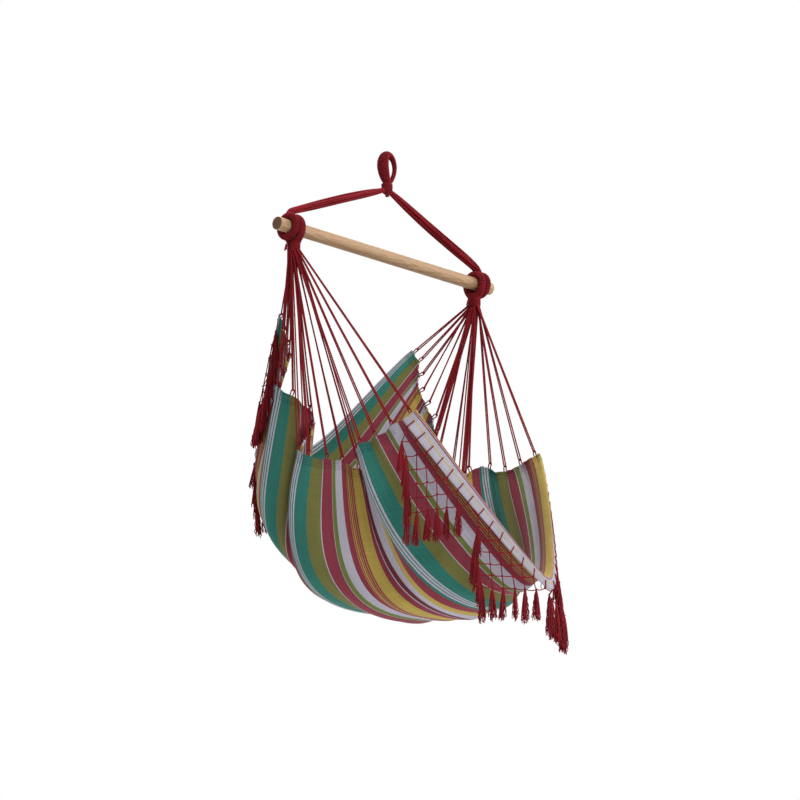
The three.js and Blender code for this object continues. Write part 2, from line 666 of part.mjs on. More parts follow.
function make_fringe(name, point_count, point_stitches, net_rows, row_depth, place_at, outward_at) {
  const points = [];
  const halves = [];
  const faces = [];
  const add_point = (edge_place, depth, thickness) => {
    points.push([edge_place, depth]);
    halves.push(thickness / 2);
    return points.length - 1;
  };
  const stitches = point_count * point_stitches;
  const pitch = 1 / stitches;
  const half_knot = knot_width / 2;
  const edge = Array.from({ length: stitches + 1 }, (_, stitch) => place_at(stitch * pitch, 0));
  const edge_length = edge.slice(1).reduce((sum, place, index) => sum + place.distanceTo(edge[index]), 0);
  const knot_share = half_knot / edge_length;
  // Each knot by its row and its half step along the edge; the first two rows run on between points
  const knots = new Map();
  const in_point = (row, half_step) => {
    const step = half_step % (point_stitches * 2);
    return row < net_rows && step >= row && step <= (point_stitches - 1) * 2 - row;
  };
  for (let row = 0; row < net_rows; row += 1) {
    for (let half_step = row; half_step <= (stitches - 1) * 2 - row; half_step += 1) {
      if ((half_step - row) % 2 === 0 && (row < 2 || in_point(row, half_step))) {
        const edge_place = (half_step + 1) / 2 * pitch;
        const depth = row * row_depth + half_knot;
        const inner = in_point(row + 1, half_step - 1) && in_point(row + 1, half_step + 1);
        const root = row > 0 && !inner && in_point(row, half_step);
        const thickness = root ? tassel_thickness * tassel_root_share : strand_thickness;
        knots.set(`${row},${half_step}`, { row, half_step, root, corners: [
          add_point(edge_place, depth - half_knot, strand_thickness),
          add_point(edge_place + knot_share, depth, thickness),
          add_point(edge_place, depth + half_knot, thickness),
          add_point(edge_place - knot_share, depth, thickness)] });
      }
    }
  }
  const half_tassel_share = tassel_width / 2 / edge_length;
  for (const { row, half_step, root, corners } of knots.values()) {
    const [top, right, bottom, left] = corners;
    const left_below = knots.get(`${row + 1},${half_step - 1}`)?.corners;
    const right_below = knots.get(`${row + 1},${half_step + 1}`)?.corners;
    faces.push([top, left, bottom], [top, bottom, right]);
    if (left_below) {
      faces.push([left, left_below[0], left_below[1]], [left, left_below[1], bottom]);
    }
    if (right_below) {
      faces.push([bottom, right_below[3], right_below[0]], [bottom, right_below[0], right]);
    }
    if (root) {
      const [edge_place, depth] = points[bottom];
      const low = depth + tassel_length;
      const low_left = add_point(edge_place - half_tassel_share, low, tassel_thickness);
      const low_right = add_point(edge_place + half_tassel_share, low, tassel_thickness);
      faces.push([bottom, low_left, low_right]);
      if (!left_below) {
        faces.push([left, low_left, bottom]);
      }
      if (!right_below) {
        faces.push([bottom, low_right, right]);
      }
    }
  }
  const front = points.map(([edge_place, depth], index) => place_at(edge_place, depth)
    .addScaledVector(outward_at(edge_place, depth), halves[index]));
  const back = points.map(([edge_place, depth], index) => place_at(edge_place, depth)
    .addScaledVector(outward_at(edge_place, depth), -halves[index]));
  const count = points.length;
  const all_faces = [...faces, ...faces.map(([a, b, c]) => [a + count, c + count, b + count])];
  const edges = new Map();
  for (const face of faces) {
    face.forEach((from, corner) => {
      const to = face[(corner + 1) % 3];
      edges.set(`${from},${to}`, [from, to]);
    });
  }
  for (const [from, to] of edges.values()) {
    if (!edges.has(`${to},${from}`)) {
      all_faces.push([from, from + count, to + count], [from, to + count, to]);
    }
  }
  add_mesh(name, solid([...front, ...back], all_faces), crimson);
}

// The part of the cloth's width that carries a fringe: it stops a little short of the hems
const fringe_width_share = 0.97;

// The column at a share of the fringe's length, measured along the cloth
function column_finder(row_share) {
  const columns = Array.from({ length: edge_steps + 1 },
    (_, step) => (step / edge_steps * 2 - 1) * fringe_width_share);
  const places = columns.map((column) => cloth_place(column, row_share));
  const runs = [0];
  places.slice(1).forEach((place, index) => runs.push(runs[index] + place.distanceTo(places[index])));
  return (share) => {
    const run = THREE.MathUtils.clamp(share, 0, 1) * runs.at(-1);
    const after = Math.max(runs.findIndex((reach) => reach >= run), 1);
    const part = (run - runs[after - 1]) / (runs[after] - runs[after - 1]);
    return THREE.MathUtils.lerp(columns[after - 1], columns[after], part);
  };
}

const front_column = column_finder(1);

// How much deeper the net is where it hangs drawn out, how straight down its left half hangs,
// which lies against the cloth, and the columns between which it turns straight down
const net_sag_share = 0.35;
const net_slack_share = 0.1;
const net_turn_start = -0.35;
const net_turn_end = 0.05;
// The columns to each side over which a fringe's direction is evened out
const fringe_span_share = 0.07;

// How deep a place on a fringe hangs, where its net is drawn out by a share of its sag
function hung_depth(depth, drawn, net_depth) {
  return Math.min(depth, net_depth) * (1 + drawn * net_sag_share) + Math.max(depth - net_depth, 0);
}

function edge_along(column, row_share) {
  const start = cloth_place(Math.max(column - fringe_span_share, -1), row_share);
  return cloth_place(Math.min(column + fringe_span_share, 1), row_share).sub(start).normalize();
}

// The front fringe hangs nearly square to the turned-out edge on the left, and straight down on
// the right
function front_fringe_place(edge_place, depth) {
  const column = front_column(edge_place);
  const along = edge_along(column, 1);
  const square = down.clone().addScaledVector(along, -down.dot(along)).normalize();
  const turn = THREE.MathUtils.smoothstep(column, net_turn_start, net_turn_end);
  const drawn = net_slack_share + (1 - net_slack_share) * turn;
  return cloth_place(column, 1)
    .addScaledVector(square.lerp(down, drawn).normalize(),
      hung_depth(depth, drawn, (front_point_stitches - 1) * front_row_depth))
    .addScaledVector(down, cloth_thickness / 2 + gap * 2);
}

function front_fringe_outward(edge_place) {
  return new THREE.Vector3().crossVectors(edge_along(front_column(edge_place), 1), down).normalize();
}

// The back fringe, one wide point cut short, starts at the cloth's back edge and lies down the
// outside of the back panel
function back_fringe_row(depth) {
  return hung_depth(depth, 1, (back_rows - 1) * back_row_depth) / cloth_length;
}

function back_fringe_outward(edge_place, depth) {
  return cloth_outward(edge_place * 2 - 1, back_fringe_row(depth));
}

function back_fringe_place(edge_place, depth) {
  const start = (cloth_thickness + strand_thickness) / 2 + gap;
  const net_share = Math.min(depth / ((back_rows - 1) * back_row_depth), 1);
  const away = start + (back_fringe_clearance - start) * net_share;
  return cloth_place(edge_place * 2 - 1, back_fringe_row(depth))
    .addScaledVector(back_fringe_outward(edge_place, depth), away);
}

make_bar();
make_neck();
for (const [hand, side] of [["left", -1], ["right", 1]]) {
  make_leg(`yoke_leg_${hand}`, side);
  make_ring(`yoke_ring_${hand}`, side * (fan_ring_offset + ring_pitch));
  make_ring(`fan_ring_${hand}`, side * fan_ring_offset);
  make_fan_neck(`fan_neck_${hand}`, side);
  make_lace(`hem_lace_${hand}`, side);
  for (let pair = 0; pair < cord_pairs; pair += 1) {
    make_pair(`cord_pair_${hand}_${String(pair + 1).padStart(2, "0")}`, side, pair);
  }
}
make_cloth();
make_fringe("front_fringe", front_points, front_point_stitches, front_point_stitches, front_row_depth,
  front_fringe_place, front_fringe_outward);
make_fringe("back_fringe", 1, back_stitches, back_rows, back_row_depth,
  back_fringe_place, back_fringe_outward);

export default chair;
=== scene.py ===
# The chair hangs from one rope eye. What follows goes from the view and the long cords up to the
# eye, down to the bar, and on to the cloth and its fringes, each piece on its own moving body.
from math import cos, pi, sin

import bpy
import numpy as np
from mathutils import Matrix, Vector


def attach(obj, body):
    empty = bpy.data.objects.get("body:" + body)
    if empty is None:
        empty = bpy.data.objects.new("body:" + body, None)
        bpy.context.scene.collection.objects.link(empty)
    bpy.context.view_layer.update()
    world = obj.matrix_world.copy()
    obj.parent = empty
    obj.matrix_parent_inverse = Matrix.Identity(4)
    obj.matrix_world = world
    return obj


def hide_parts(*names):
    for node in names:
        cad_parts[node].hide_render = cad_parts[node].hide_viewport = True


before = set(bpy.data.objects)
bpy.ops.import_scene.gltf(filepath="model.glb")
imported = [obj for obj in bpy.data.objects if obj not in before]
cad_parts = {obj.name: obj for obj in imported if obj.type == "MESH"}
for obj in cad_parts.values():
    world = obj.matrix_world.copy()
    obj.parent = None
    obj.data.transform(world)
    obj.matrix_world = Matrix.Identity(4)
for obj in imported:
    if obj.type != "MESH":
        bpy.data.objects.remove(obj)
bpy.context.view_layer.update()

# The view: from in front and to the left, and from below the seat, up at the hanging chair,
# with a long lens.
look_at = Vector((0.0526, 0, -0.6704))
backwards = Vector((-0.7177, -0.6530, -0.2418)).normalized()
camera_far = 9


def new_object(name, data):
    """An object that is linked into the scene."""
    thing = bpy.data.objects.new(name, data)
    bpy.context.scene.collection.objects.link(thing)
    return thing


camera = new_object("camera", bpy.data.cameras.new("camera"))
camera.data.sensor_width = 36
camera.data.lens = 150.86
camera.location = look_at + backwards * camera_far
camera.rotation_euler = backwards.to_track_quat("Z", "Y").to_euler()
bpy.context.scene.camera = camera

# Two fans of cords, twenty doubled cords a side: laid cotton cord, dyed crimson. Each runs from
# the binding under its ring straight down to the hem, through a loop of the hem's lace, and
# back up. The cloth's rows stand here because they say where each cord meets the hem.
bar_axis = np.array([0, 0, -0.282])
ring_bundle = 0.020
fan_ring_x = 0.362
yoke_ring_x = 0.383
fan_neck_low = -0.339449
cord_thick = 0.0036
cord_lay = 0.018
cord_pairs = 20
lace_thick = 0.0024
lace_loop_wide = 0.013
lace_loop_high = 0.017
cloth_length = 1.321
turn_out = 0.966
first_pair = 0.018
play = 0.0003
crimson = (0.275, 0.0058, 0.013, 1)
crimson_shade = (0.120, 0.0024, 0.005, 1)

row_shares = np.array([0, .076, .151, .26, .326, .371, .439, .521, .598, .651, .719, .781, .829,
                       .883, turn_out, 1])
left_hem_rows = np.array([
    (-.989, .165, -.183), (-.944, .159, -.236), (-.926, .14, -.299), (-1.111, .133, -.393),
    (-1.037, .072, -.426), (-.72, .104, -.454), (-.907, .056, -.516), (-1.148, .034, -.576),
    (-1.037, -.044, -.602), (-.963, -.087, -.607), (-.76, -.12, -.629), (-1, -.161, -.587),
    (-1, -.221, -.575), (-1, -.282, -.56), (-.97, -.4, -.521), (-1.07, -.378, -.548)])
right_hem_rows = np.array([
    (.989, .176, -.178), (.981, .141, -.221), (.926, .129, -.295), (1.074, .112, -.372),
    (1.026, .085, -.436), (.889, .066, -.478), (.741, .025, -.505), (1.056, .004, -.535),
    (1.037, -.028, -.565), (.963, -.053, -.589), (.796, -.08, -.58), (1.019, -.112, -.537),
    (1.019, -.176, -.562), (1.019, -.249, -.561), (1.007, -.353, -.537), (1.1, -.336, -.566)])
keel_rows = np.array([
    (-.37, .341, -.511), (-.259, .353, -.589), (-.185, .347, -.665), (0, .306, -.79),
    (0, .265, -.845), (0, .224, -.876), (0, .165, -.914), (0, .059, -.953), (0, -.071, -.982),
    (0, -.165, -.995), (0, -.282, -.996), (0, -.376, -.985), (0, -.441, -.973),
    (0, -.518, -.958), (0, -.646, -.934), (0, -.659, -.968)])
fullness_rows = np.array([.26, .32, .42, .5, .5, .5, .5, .5, .5, .5, .5, .45, .38, .25, .1, .1])
left_bag_rows = np.array([0, .059, .076, .03, .024, .035, .06, .094, .088, .065, .029,
                          0, 0, 0, 0, 0])
row_size = np.array([0.270, 0.850, 1.018])
hand_names = {-1: "left", 1: "right"}


def unit(vector):
    return vector / np.linalg.norm(vector, axis=-1, keepdims=True)


def between_rows(table, share):
    """A smooth curve through a table's rows, at a share of the cloth's length."""
    last = len(row_shares) - 1
    row = np.clip(np.searchsorted(row_shares, share) - 1, 0, last - 1)
    span = row_shares[row + 1] - row_shares[row]

    def deep(values):
        return values[..., None] if table.ndim > 1 else values

    def slope(index):
        low, high = np.maximum(index - 1, 0), np.minimum(index + 1, last)
        return (table[high] - table[low]) * deep(span / (row_shares[high] - row_shares[low]))

    k = deep((share - row_shares[row]) / span)
    return ((2 * k**3 - 3 * k**2 + 1) * table[row] + (k**3 - 2 * k**2 + k) * slope(row)
            + (3 * k**2 - 2 * k**3) * table[row + 1] + (k**3 - k**2) * slope(row + 1))


def fan_centre(side):
    """The middle of the fan neck's foot, where that side's cords come together."""
    side = np.asarray(side, float)
    return np.stack([side * fan_ring_x, side * 0, side * 0 + fan_neck_low], -1)


def cloth_place(column, share):
    """Column -1 is the left hem, 0 the keel and 1 the right hem; share runs from back to front."""
    column, share = np.broadcast_arrays(np.asarray(column, float), np.asarray(share, float))
    side = np.where(column < 0, -1.0, 1.0)
    is_left = (side < 0)[..., None]
    hem = np.where(is_left, between_rows(left_hem_rows, share), between_rows(right_hem_rows, share))
    hem = hem * row_size + bar_axis
    keel = between_rows(keel_rows, share) * row_size + bar_axis
    fullness = (np.linalg.norm(hem - keel, axis=-1) * between_rows(fullness_rows, share))[..., None]
    bag = np.where(side < 0, row_size[1] * between_rows(left_bag_rows, share), 0)[..., None]
    bag = bag * np.array([0, 1, 0])
    hem_handle = hem + unit(hem - fan_centre(side)) * fullness + bag
    keel_handle = keel + side[..., None] * np.array([1, 0, 0]) * fullness + bag
    t = 1 - np.abs(column)[..., None]
    return ((1 - t)**3 * hem + 3 * (1 - t)**2 * t * hem_handle
            + 3 * (1 - t) * t**2 * keel_handle + t**3 * keel)


def cloth_outward(column, share):
    """The way straight out from the cloth, away from the sitter."""
    column, share = np.broadcast_arrays(np.asarray(column, float), np.asarray(share, float))
    step = 0.01
    across = (cloth_place(np.minimum(column + step, 1), share)
              - cloth_place(np.maximum(column - step, -1), share))
    along = (cloth_place(column, np.minimum(share + step, 1))
             - cloth_place(column, np.maximum(share - step, 0)))
    return unit(np.cross(across, along))


straight_rows = np.sort(np.append(row_shares, (row_shares[1:] + row_shares[:-1]) / 2))
pairs_long = turn_out * cloth_length - 2 * first_pair
pair_shares = (first_pair + pairs_long * np.arange(cord_pairs) / (cord_pairs - 1)) / cloth_length
pair_pitch = pair_shares[1] - pair_shares[0]


def hem_edge(side, share):
    """The hem as the cords draw it: straight from row to row."""
    share = np.asarray(share, float)
    after = np.clip(np.searchsorted(straight_rows, share), 1, len(straight_rows) - 1)
    start, end = straight_rows[after - 1], straight_rows[after]
    k = ((share - start) / (end - start))[..., None]
    return cloth_place(side, start) * (1 - k) + cloth_place(side, end) * k


def hem_frame(side, share):
    """A place on the hem, and the ways up to the fan, along the hem, and square off the hem."""
    place = hem_edge(side, share)
    up = unit(fan_centre(side) - place)
    step = 0.004
    edge = unit(hem_edge(side, share + step) - hem_edge(side, share - step))
    return place, up, unit(edge - edge.dot(up) * up), unit(up - edge.dot(up) * edge)


def gather_places(side):
    """Which column and layer of the neck's bundle each pair takes: three pairs to a column."""
    falls = cloth_place(side, pair_shares) - fan_centre(side)
    back_slope = -falls[:, 1] / falls[:, 2]
    out_slope = -side * falls[:, 0] / falls[:, 2]
    by_slope = sorted(range(cord_pairs), key=lambda pair: -back_slope[pair])
    places = {}
    for start in range(0, cord_pairs, 3):
        column = sorted(by_slope[start:start + 3], key=lambda pair: out_slope[pair])
        for order, pair in enumerate(column):
            places[pair] = (start // 3, order * 2)
    return places


def fill(tree, node, inputs):
    """Links a node's inputs to sockets, or sets them to values."""
    for key, value in inputs.items():
        if isinstance(value, bpy.types.NodeSocket):
            tree.links.new(value, node.inputs[key])
        else:
            node.inputs[key].default_value = value


def put(tree, kind, inputs=None, **settings):
    """Adds a node with its settings and inputs."""
    node = tree.nodes.new(kind)
    for name, value in settings.items():
        setattr(node, name, value)
    fill(tree, node, inputs or {})
    return node


def got(tree, kind, inputs=None, **settings):
    """Adds a node and gives its first output."""
    return put(tree, kind, inputs, **settings).outputs[0]


def tree_of(*values):
    """The node tree of the first socket among some values."""
    return next(value.id_data for value in values if isinstance(value, bpy.types.NodeSocket))


def maths(operation, *values):
    return got(tree_of(*values), "ShaderNodeMath", dict(enumerate(values)), operation=operation)


def times(first, second):
    return maths("MULTIPLY", first, second)


def vectors(operation, *values):
    return got(tree_of(*values), "ShaderNodeVectorMath", dict(enumerate(values)),
               operation=operation)


def scaled(vector, factor):
    return got(tree_of(vector), "ShaderNodeVectorMath", {0: vector, "Scale": factor},
               operation="SCALE")


def new_tree(kind, name, takes, gives):
    """A node tree with named inputs, each a kind of socket and its first value, and outputs."""
    tree = bpy.data.node_groups.new(name, kind)
    for label, (socket, value) in takes.items():
        made = tree.interface.new_socket(label, in_out="INPUT", socket_type="NodeSocket" + socket)
        if value is not None:
            made.default_value = value
    for label, socket in gives.items():
        tree.interface.new_socket(label, in_out="OUTPUT", socket_type="NodeSocket" + socket)
    return tree, put(tree, "NodeGroupInput").outputs, put(tree, "NodeGroupOutput")


def give_solid(tree, gives, geometry, material):
    """Ends a geometry tree: its instances made real, and its material set."""
    single = got(tree, "GeometryNodeRealizeInstances", {0: geometry})
    coloured = got(tree, "GeometryNodeSetMaterial", {"Geometry": single, "Material": material})
    fill(tree, gives, {0: coloured})


def made_with(tree, name, lines, material, closed=False, marks=None, **sizes):
    """The mesh that a Geometry Nodes tree makes along lines of points, as a plain object."""
    source = bpy.data.meshes.new(name + " lines")
    starts = np.cumsum([0] + [len(line) for line in lines[:-1]])
    edges = []
    for start, line in zip(starts, lines):
        edges += [(int(start + i), int(start + i + 1)) for i in range(len(line) - 1)]
        if closed:
            edges.append((int(start + len(line) - 1), int(start)))
    source.from_pydata(np.concatenate(lines).tolist(), edges, [])
    for label, values in (marks or {}).items():
        mark = source.attributes.new(label, "FLOAT_VECTOR", "POINT")
        mark.data.foreach_set("vector", np.asarray(values, np.float32).ravel())
    carrier = new_object(name + " lines", source)
    modifier = carrier.modifiers.new(tree.name, "NODES")
    modifier.node_group = tree
    values = {label.replace("_", " "): value for label, value in sizes.items()}
    values["material"] = material
    for item in tree.interface.items_tree:
        if item.in_out == "INPUT" and item.name in values:
            modifier[item.identifier] = values[item.name]
    bpy.context.view_layer.update()
    evaluated = carrier.evaluated_get(bpy.context.evaluated_depsgraph_get())
    piece = new_object(name, bpy.data.meshes.new_from_object(evaluated))
    bpy.data.objects.remove(carrier)
    piece.data.name = name
    piece.data.polygons.foreach_set("use_smooth", [True] * len(piece.data.polygons))
    return piece


# A laid cord is three strands twisted together: the section is a three-lobed star that turns
# along the line. "ridge" is 1 on the strands and 0 in the grooves between them.
lay_up, takes, gives = new_tree("GeometryNodeTree", "lay up three strands", {
    "line": ("Geometry", None), "thick": ("Float", cord_thick), "lay": ("Float", cord_lay),
    "step": ("Float", 0.002)}, {"cord": "Geometry"})
line = got(lay_up, "GeometryNodeResampleCurve", {"Curve": takes["line"], "Length": takes["step"]},
           mode="LENGTH")
run = put(lay_up, "GeometryNodeSplineParameter").outputs["Length"]
turned = times(maths("DIVIDE", run, takes["lay"]), 2 * pi)
twisted = got(lay_up, "GeometryNodeSetCurveTilt", {"Curve": line, "Tilt": turned})
star = put(lay_up, "GeometryNodeCurveStar", {
    "Points": 3, "Inner Radius": times(takes["thick"], 0.51),
    "Outer Radius": times(takes["thick"], 0.615), "Twist": 0.0}).outputs
section = got(lay_up, "GeometryNodeStoreNamedAttribute", {
    "Geometry": star["Curve"], "Name": "ridge", "Value": star["Outer Points"]},
    data_type="FLOAT", domain="POINT")
swept = got(lay_up, "GeometryNodeCurveToMesh", {"Curve": twisted, "Profile Curve": section,
                                                "Fill Caps": True})
fill(lay_up, gives, {"cord": swept})

laid_cord, takes, gives = new_tree("GeometryNodeTree", "laid cord", {
    "lines": ("Geometry", None), "thick": ("Float", cord_thick), "lay": ("Float", cord_lay),
    "step": ("Float", 0.002), "material": ("Material", None)}, {"cords": "Geometry"})
laid = got(laid_cord, "GeometryNodeGroup", {
    "line": got(laid_cord, "GeometryNodeMeshToCurve", {0: takes["lines"]}),
    "thick": takes["thick"], "lay": takes["lay"], "step": takes["step"]}, node_tree=lay_up)
give_solid(laid_cord, gives, laid, takes["material"])


def spread(value, low, high, start=0.0, end=1.0):
    """Goes from low to high while the value goes from start to end."""
    return got(tree_of(value), "ShaderNodeMapRange", {
        "Value": value, "From Min": start, "From Max": end, "To Min": low, "To Max": high})


def noise(place, size, detail):
    return got(tree_of(place), "ShaderNodeTexNoise", {"Vector": place, "Scale": size,
                                                      "Detail": detail})


def mixed(factor, first, second):
    return put(tree_of(factor), "ShaderNodeMix", {"Factor": factor, "A": first, "B": second},
               data_type="RGBA").outputs["Result"]


def new_material(name):
    """A material with its tree, its shader and the places on the object."""
    material = bpy.data.materials.new(name)
    material.use_nodes = True
    tree = material.node_tree
    place = put(tree, "ShaderNodeTexCoord").outputs["Object"]
    return material, tree, tree.nodes["Principled BSDF"], place


# Spun cotton: soft patches where the dye took more or less, fine fuzz, and painted shade: the
# grooves between the strands are darkened, so that the ridges stand paler.
spun_cotton, takes, gives = new_tree("ShaderNodeTree", "spun cotton", {
    "place": ("Vector", None), "dye": ("Color", crimson), "painted groove shade": ("Color", crimson_shade),
    "ridge": ("Float", 1.0), "fuzz size": ("Float", 1100.0)},
    {"colour": "Color", "height": "Float", "roughness": "Float"})
patches = noise(takes["place"], 22.0, 3.0)
fuzz = noise(takes["place"], takes["fuzz size"], 2.0)
lit = spread(takes["ridge"], 0.35, 1.0)
# The darker colour, where the ridge mark is 0 in the grooves, is painted shade.
rope = mixed(lit, takes["painted groove shade"], takes["dye"])
tone = times(spread(patches, 0.82, 1.16, 0.3, 0.7), spread(fuzz, 0.8, 1.25, 0.3, 0.75))
fill(spun_cotton, gives, {"colour": scaled(rope, tone), "height": fuzz,
                          "roughness": spread(fuzz, 0.72, 0.95)})


def cotton_yarn(name, dye, painted_groove_shade, fuzz_size=1100.0):
    """A material of spun cotton in one dye, with painted shade in a darker colour between its
    strands.
    """
    material, tree, shader, place = new_material(name)
    yarn = put(tree, "ShaderNodeGroup", {
        "place": place, "dye": dye, "painted groove shade": painted_groove_shade, "fuzz size": fuzz_size,
        "ridge": put(tree, "ShaderNodeAttribute", attribute_name="ridge").outputs["Fac"]},
        node_tree=spun_cotton).outputs
    bump = got(tree, "ShaderNodeBump", {"Height": yarn["height"], "Strength": 0.5,
                                        "Distance": 0.0004})
    fill(tree, shader, {"Base Color": yarn["colour"], "Roughness": yarn["roughness"],
                        "Normal": bump, "Specular IOR Level": 0.25})
    return material


cord_cotton = cotton_yarn("crimson cord", crimson, crimson_shade)
bight_clearance = 0.0012
bight_round = (lace_thick + cord_thick) / 2 + bight_clearance
bight_high = lace_loop_high - lace_thick - cord_thick / 2 - play
top_pitch_x = 0.005
top_pitch_y = 0.0054
middle_layer = 2.5
middle_column = 3
into_neck = (0.009, 0.006, 0.003)
above_neck = np.array([0, 0, 0.030])
gather_shares = np.array([0.74, 0.74, 1])
run_steps = np.linspace(0, 1, 24)

for side in (-1, 1):
    places = gather_places(side)
    neck_middle = fan_centre(side)
    for pair in range(cord_pairs):
        place, up, along, away = hem_frame(side, pair_shares[pair])
        out = unit(np.cross(along, up))
        column, first = places[pair]
        tops = [np.array([side * (fan_ring_x - (middle_layer - first - which) * top_pitch_x),
                          (middle_column - column) * top_pitch_y, fan_neck_low - play])
                for which in (0, 1)]
        tops = [neck_middle + (top - neck_middle) * gather_shares for top in tops]
        if side * out[0] > 0:
            tops.reverse()
        inside = [[top + unit(neck_middle + above_neck - top) * rise for rise in into_neck]
                  for top in tops]
        centre = place + unit(up + away * 2) * bight_high + up * bight_round
        bight = [centre + out * bight_round * cos(angle) - up * bight_round * sin(angle)
                 for angle in np.linspace(0, pi, 13)]
        down_run = [tops[0] + (bight[0] - tops[0]) * share for share in run_steps]
        up_run = [bight[-1] + (tops[1] - bight[-1]) * share for share in run_steps]
        path = np.array([*inside[0], *down_run[:-1], *bight, *up_run[1:], *inside[1][::-1]])
        name = f"cord_{hand_names[side]}_{pair + 1:02d}"
        cord = made_with(laid_cord, name, [path], cord_cotton, thick=cord_thick)
        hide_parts(f"cord_pair_{hand_names[side]}_{pair + 1:02d}")
        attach(cord, "seat")

# Hem lace: one thinner laid cord along each hem. It runs inside the hem's rolled edge and comes
# out in a small loop wherever a doubled cord hangs in it. Between the loops the hem sags a little.
# The cloth's folds stand here because the lace follows them.
lace_rest = -0.0040
lace_fullness = 1.3
hem_sag = 0.0035
loop_middle = 0.0062
loop_half_wide = 0.0045
loop_half_high = 0.0068
cloth_half_span = 0.62
gather_reach = 0.055
fold_high = 0.0024
hem_pull = 0.05
lace_end = 0.01
folds_random = np.random.default_rng(5)
fold_waves = [(folds_random.uniform(0.6, 2.2), folds_random.uniform(5, 15),
               folds_random.uniform(0, 2 * pi), folds_random.uniform(0, 2 * pi))
              for _ in range(9)]


def sag_at(share):
    """How far the hem hangs below its straight line between two loops."""
    return hem_sag * np.sin(pi * (share - pair_shares[0]) / pair_pitch)**2


def fold_height(column, share):
    """How far the cloth's soft folds stand out: drawn up at each loop, loose further in."""
    from_hem = (1 - np.abs(column)) * cloth_half_span
    beat = 2 * pi * (share - pair_shares[0]) / pair_pitch
    gathers = 0.0040 * np.cos(beat) + 0.0016 * np.cos(2 * beat + 0.7) + 0.001 * np.sin(3 * beat)
    height = gathers * np.exp(-from_hem / gather_reach) * np.clip((1 - share) / 0.05, 0, 1)
    loose = sum(np.sin(across * column * pi + a)
                * np.sin(along * share * 2 * pi + b + 1.1 * np.sin(2.3 * column + a))
                for across, along, a, b in fold_waves)
    inward = np.clip(from_hem / 0.09, 0, 1)
    quiet_front = 0.25 + 0.75 * np.clip((0.96 - share) / 0.08, 0, 1)
    return height + loose * fold_high * inward * quiet_front


def draped_place(column, share):
    """A place on the cloth as it hangs, with its folds and its hem drawn up at the loops."""
    column, share = np.broadcast_arrays(np.asarray(column, float), np.asarray(share, float))
    side = np.where(column < 0, -1.0, 1.0)
    smooth = cloth_place(column, share)
    place = smooth + cloth_outward(column, share) * fold_height(column, share)[..., None]
    hem_share = np.clip(share, 0, 1)
    straight = np.where(side[..., None] < 0, hem_edge(-1, hem_share), hem_edge(1, hem_share))
    rounded = cloth_place(side, hem_share)
    up = unit(fan_centre(side) - straight)
    in_lace = np.clip((hem_share - pair_shares[0]) / lace_end, 0, 1)
    in_lace = in_lace * np.clip((pair_shares[-1] - hem_share) / lace_end, 0, 1)
    shift = straight - rounded - up * (sag_at(hem_share) * in_lace)[..., None]
    near = np.exp(-(((1 - np.abs(column)) * cloth_half_span) / hem_pull)**2)
    return place + shift * near[..., None]


def in_hem(side, share):
    """A place on the lace's own line inside the hem."""
    return draped_place(side, share) + hem_frame(side, share)[3] * lace_rest


def eased(path, rounds):
    """A line with its corners cut again and again, from end to end."""
    path = np.asarray(path)
    for _ in range(rounds):
        start, end = path[:-1], path[1:]
        cut = np.stack([start * 0.75 + end * 0.25, start * 0.25 + end * 0.75], 1).reshape(-1, 3)
        path = np.concatenate([path[:1], cut, path[-1:]])
    return path


half_loop = lace_loop_wide / 2 / cloth_length
for side in (-1, 1):
    lace = []
    for pair, share in enumerate(pair_shares):
        place, up, along, away = hem_frame(side, share)
        stand = unit(up + away * 2)
        across = unit(along - along.dot(stand) * stand)
        top = place + stand * (lace_loop_high - lace_thick / 2)
        lace += [in_hem(side, share + half_loop * step) for step in (-1.3, -0.9)]
        lace += [top - stand * loop_middle + across * loop_half_wide * cos(turn)
                 + stand * loop_half_high * sin(turn)
                 for turn in np.linspace(-0.25 * pi, 1.25 * pi, 9)[::-1]]
        lace += [in_hem(side, share + half_loop * step) for step in (0.9, 1.3)]
        if pair + 1 < cord_pairs:
            lace += [in_hem(side, between) for between in np.linspace(
                share + half_loop * 2, pair_shares[pair + 1] - half_loop * 2, 6)]
    piece = made_with(laid_cord, f"lace_{hand_names[side]}", [eased(lace, 2)], cord_cotton,
                      thick=lace_thick * lace_fullness, lay=0.012, step=0.0014)
    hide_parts(f"hem_lace_{hand_names[side]}")
    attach(piece, "seat")

# Hanging eye: a bundle of cords bent to a drop shape and served all round with one cord, turn
# against turn, so that the hook doesn't chafe it. Its left limb holds more cords than its right.
served_rope, takes, gives = new_tree("GeometryNodeTree", "served rope", {
    "lines": ("Geometry", None), "side": ("Vector", (0, 1, 0)), "half wide": ("Float", 0.01),
    "half deep": ("Float", 0.01), "thick": ("Float", 0.0034), "turns": ("Int", 12),
    "lay": ("Float", 0.013), "step": ("Float", 0.002), "material": ("Material", None)},
    {"rope": "Geometry"})


def circle(tree, corners, radius):
    return got(tree, "GeometryNodeCurvePrimitiveCircle", {"Resolution": corners,
                                                          "Radius": radius}, mode="RADIUS")


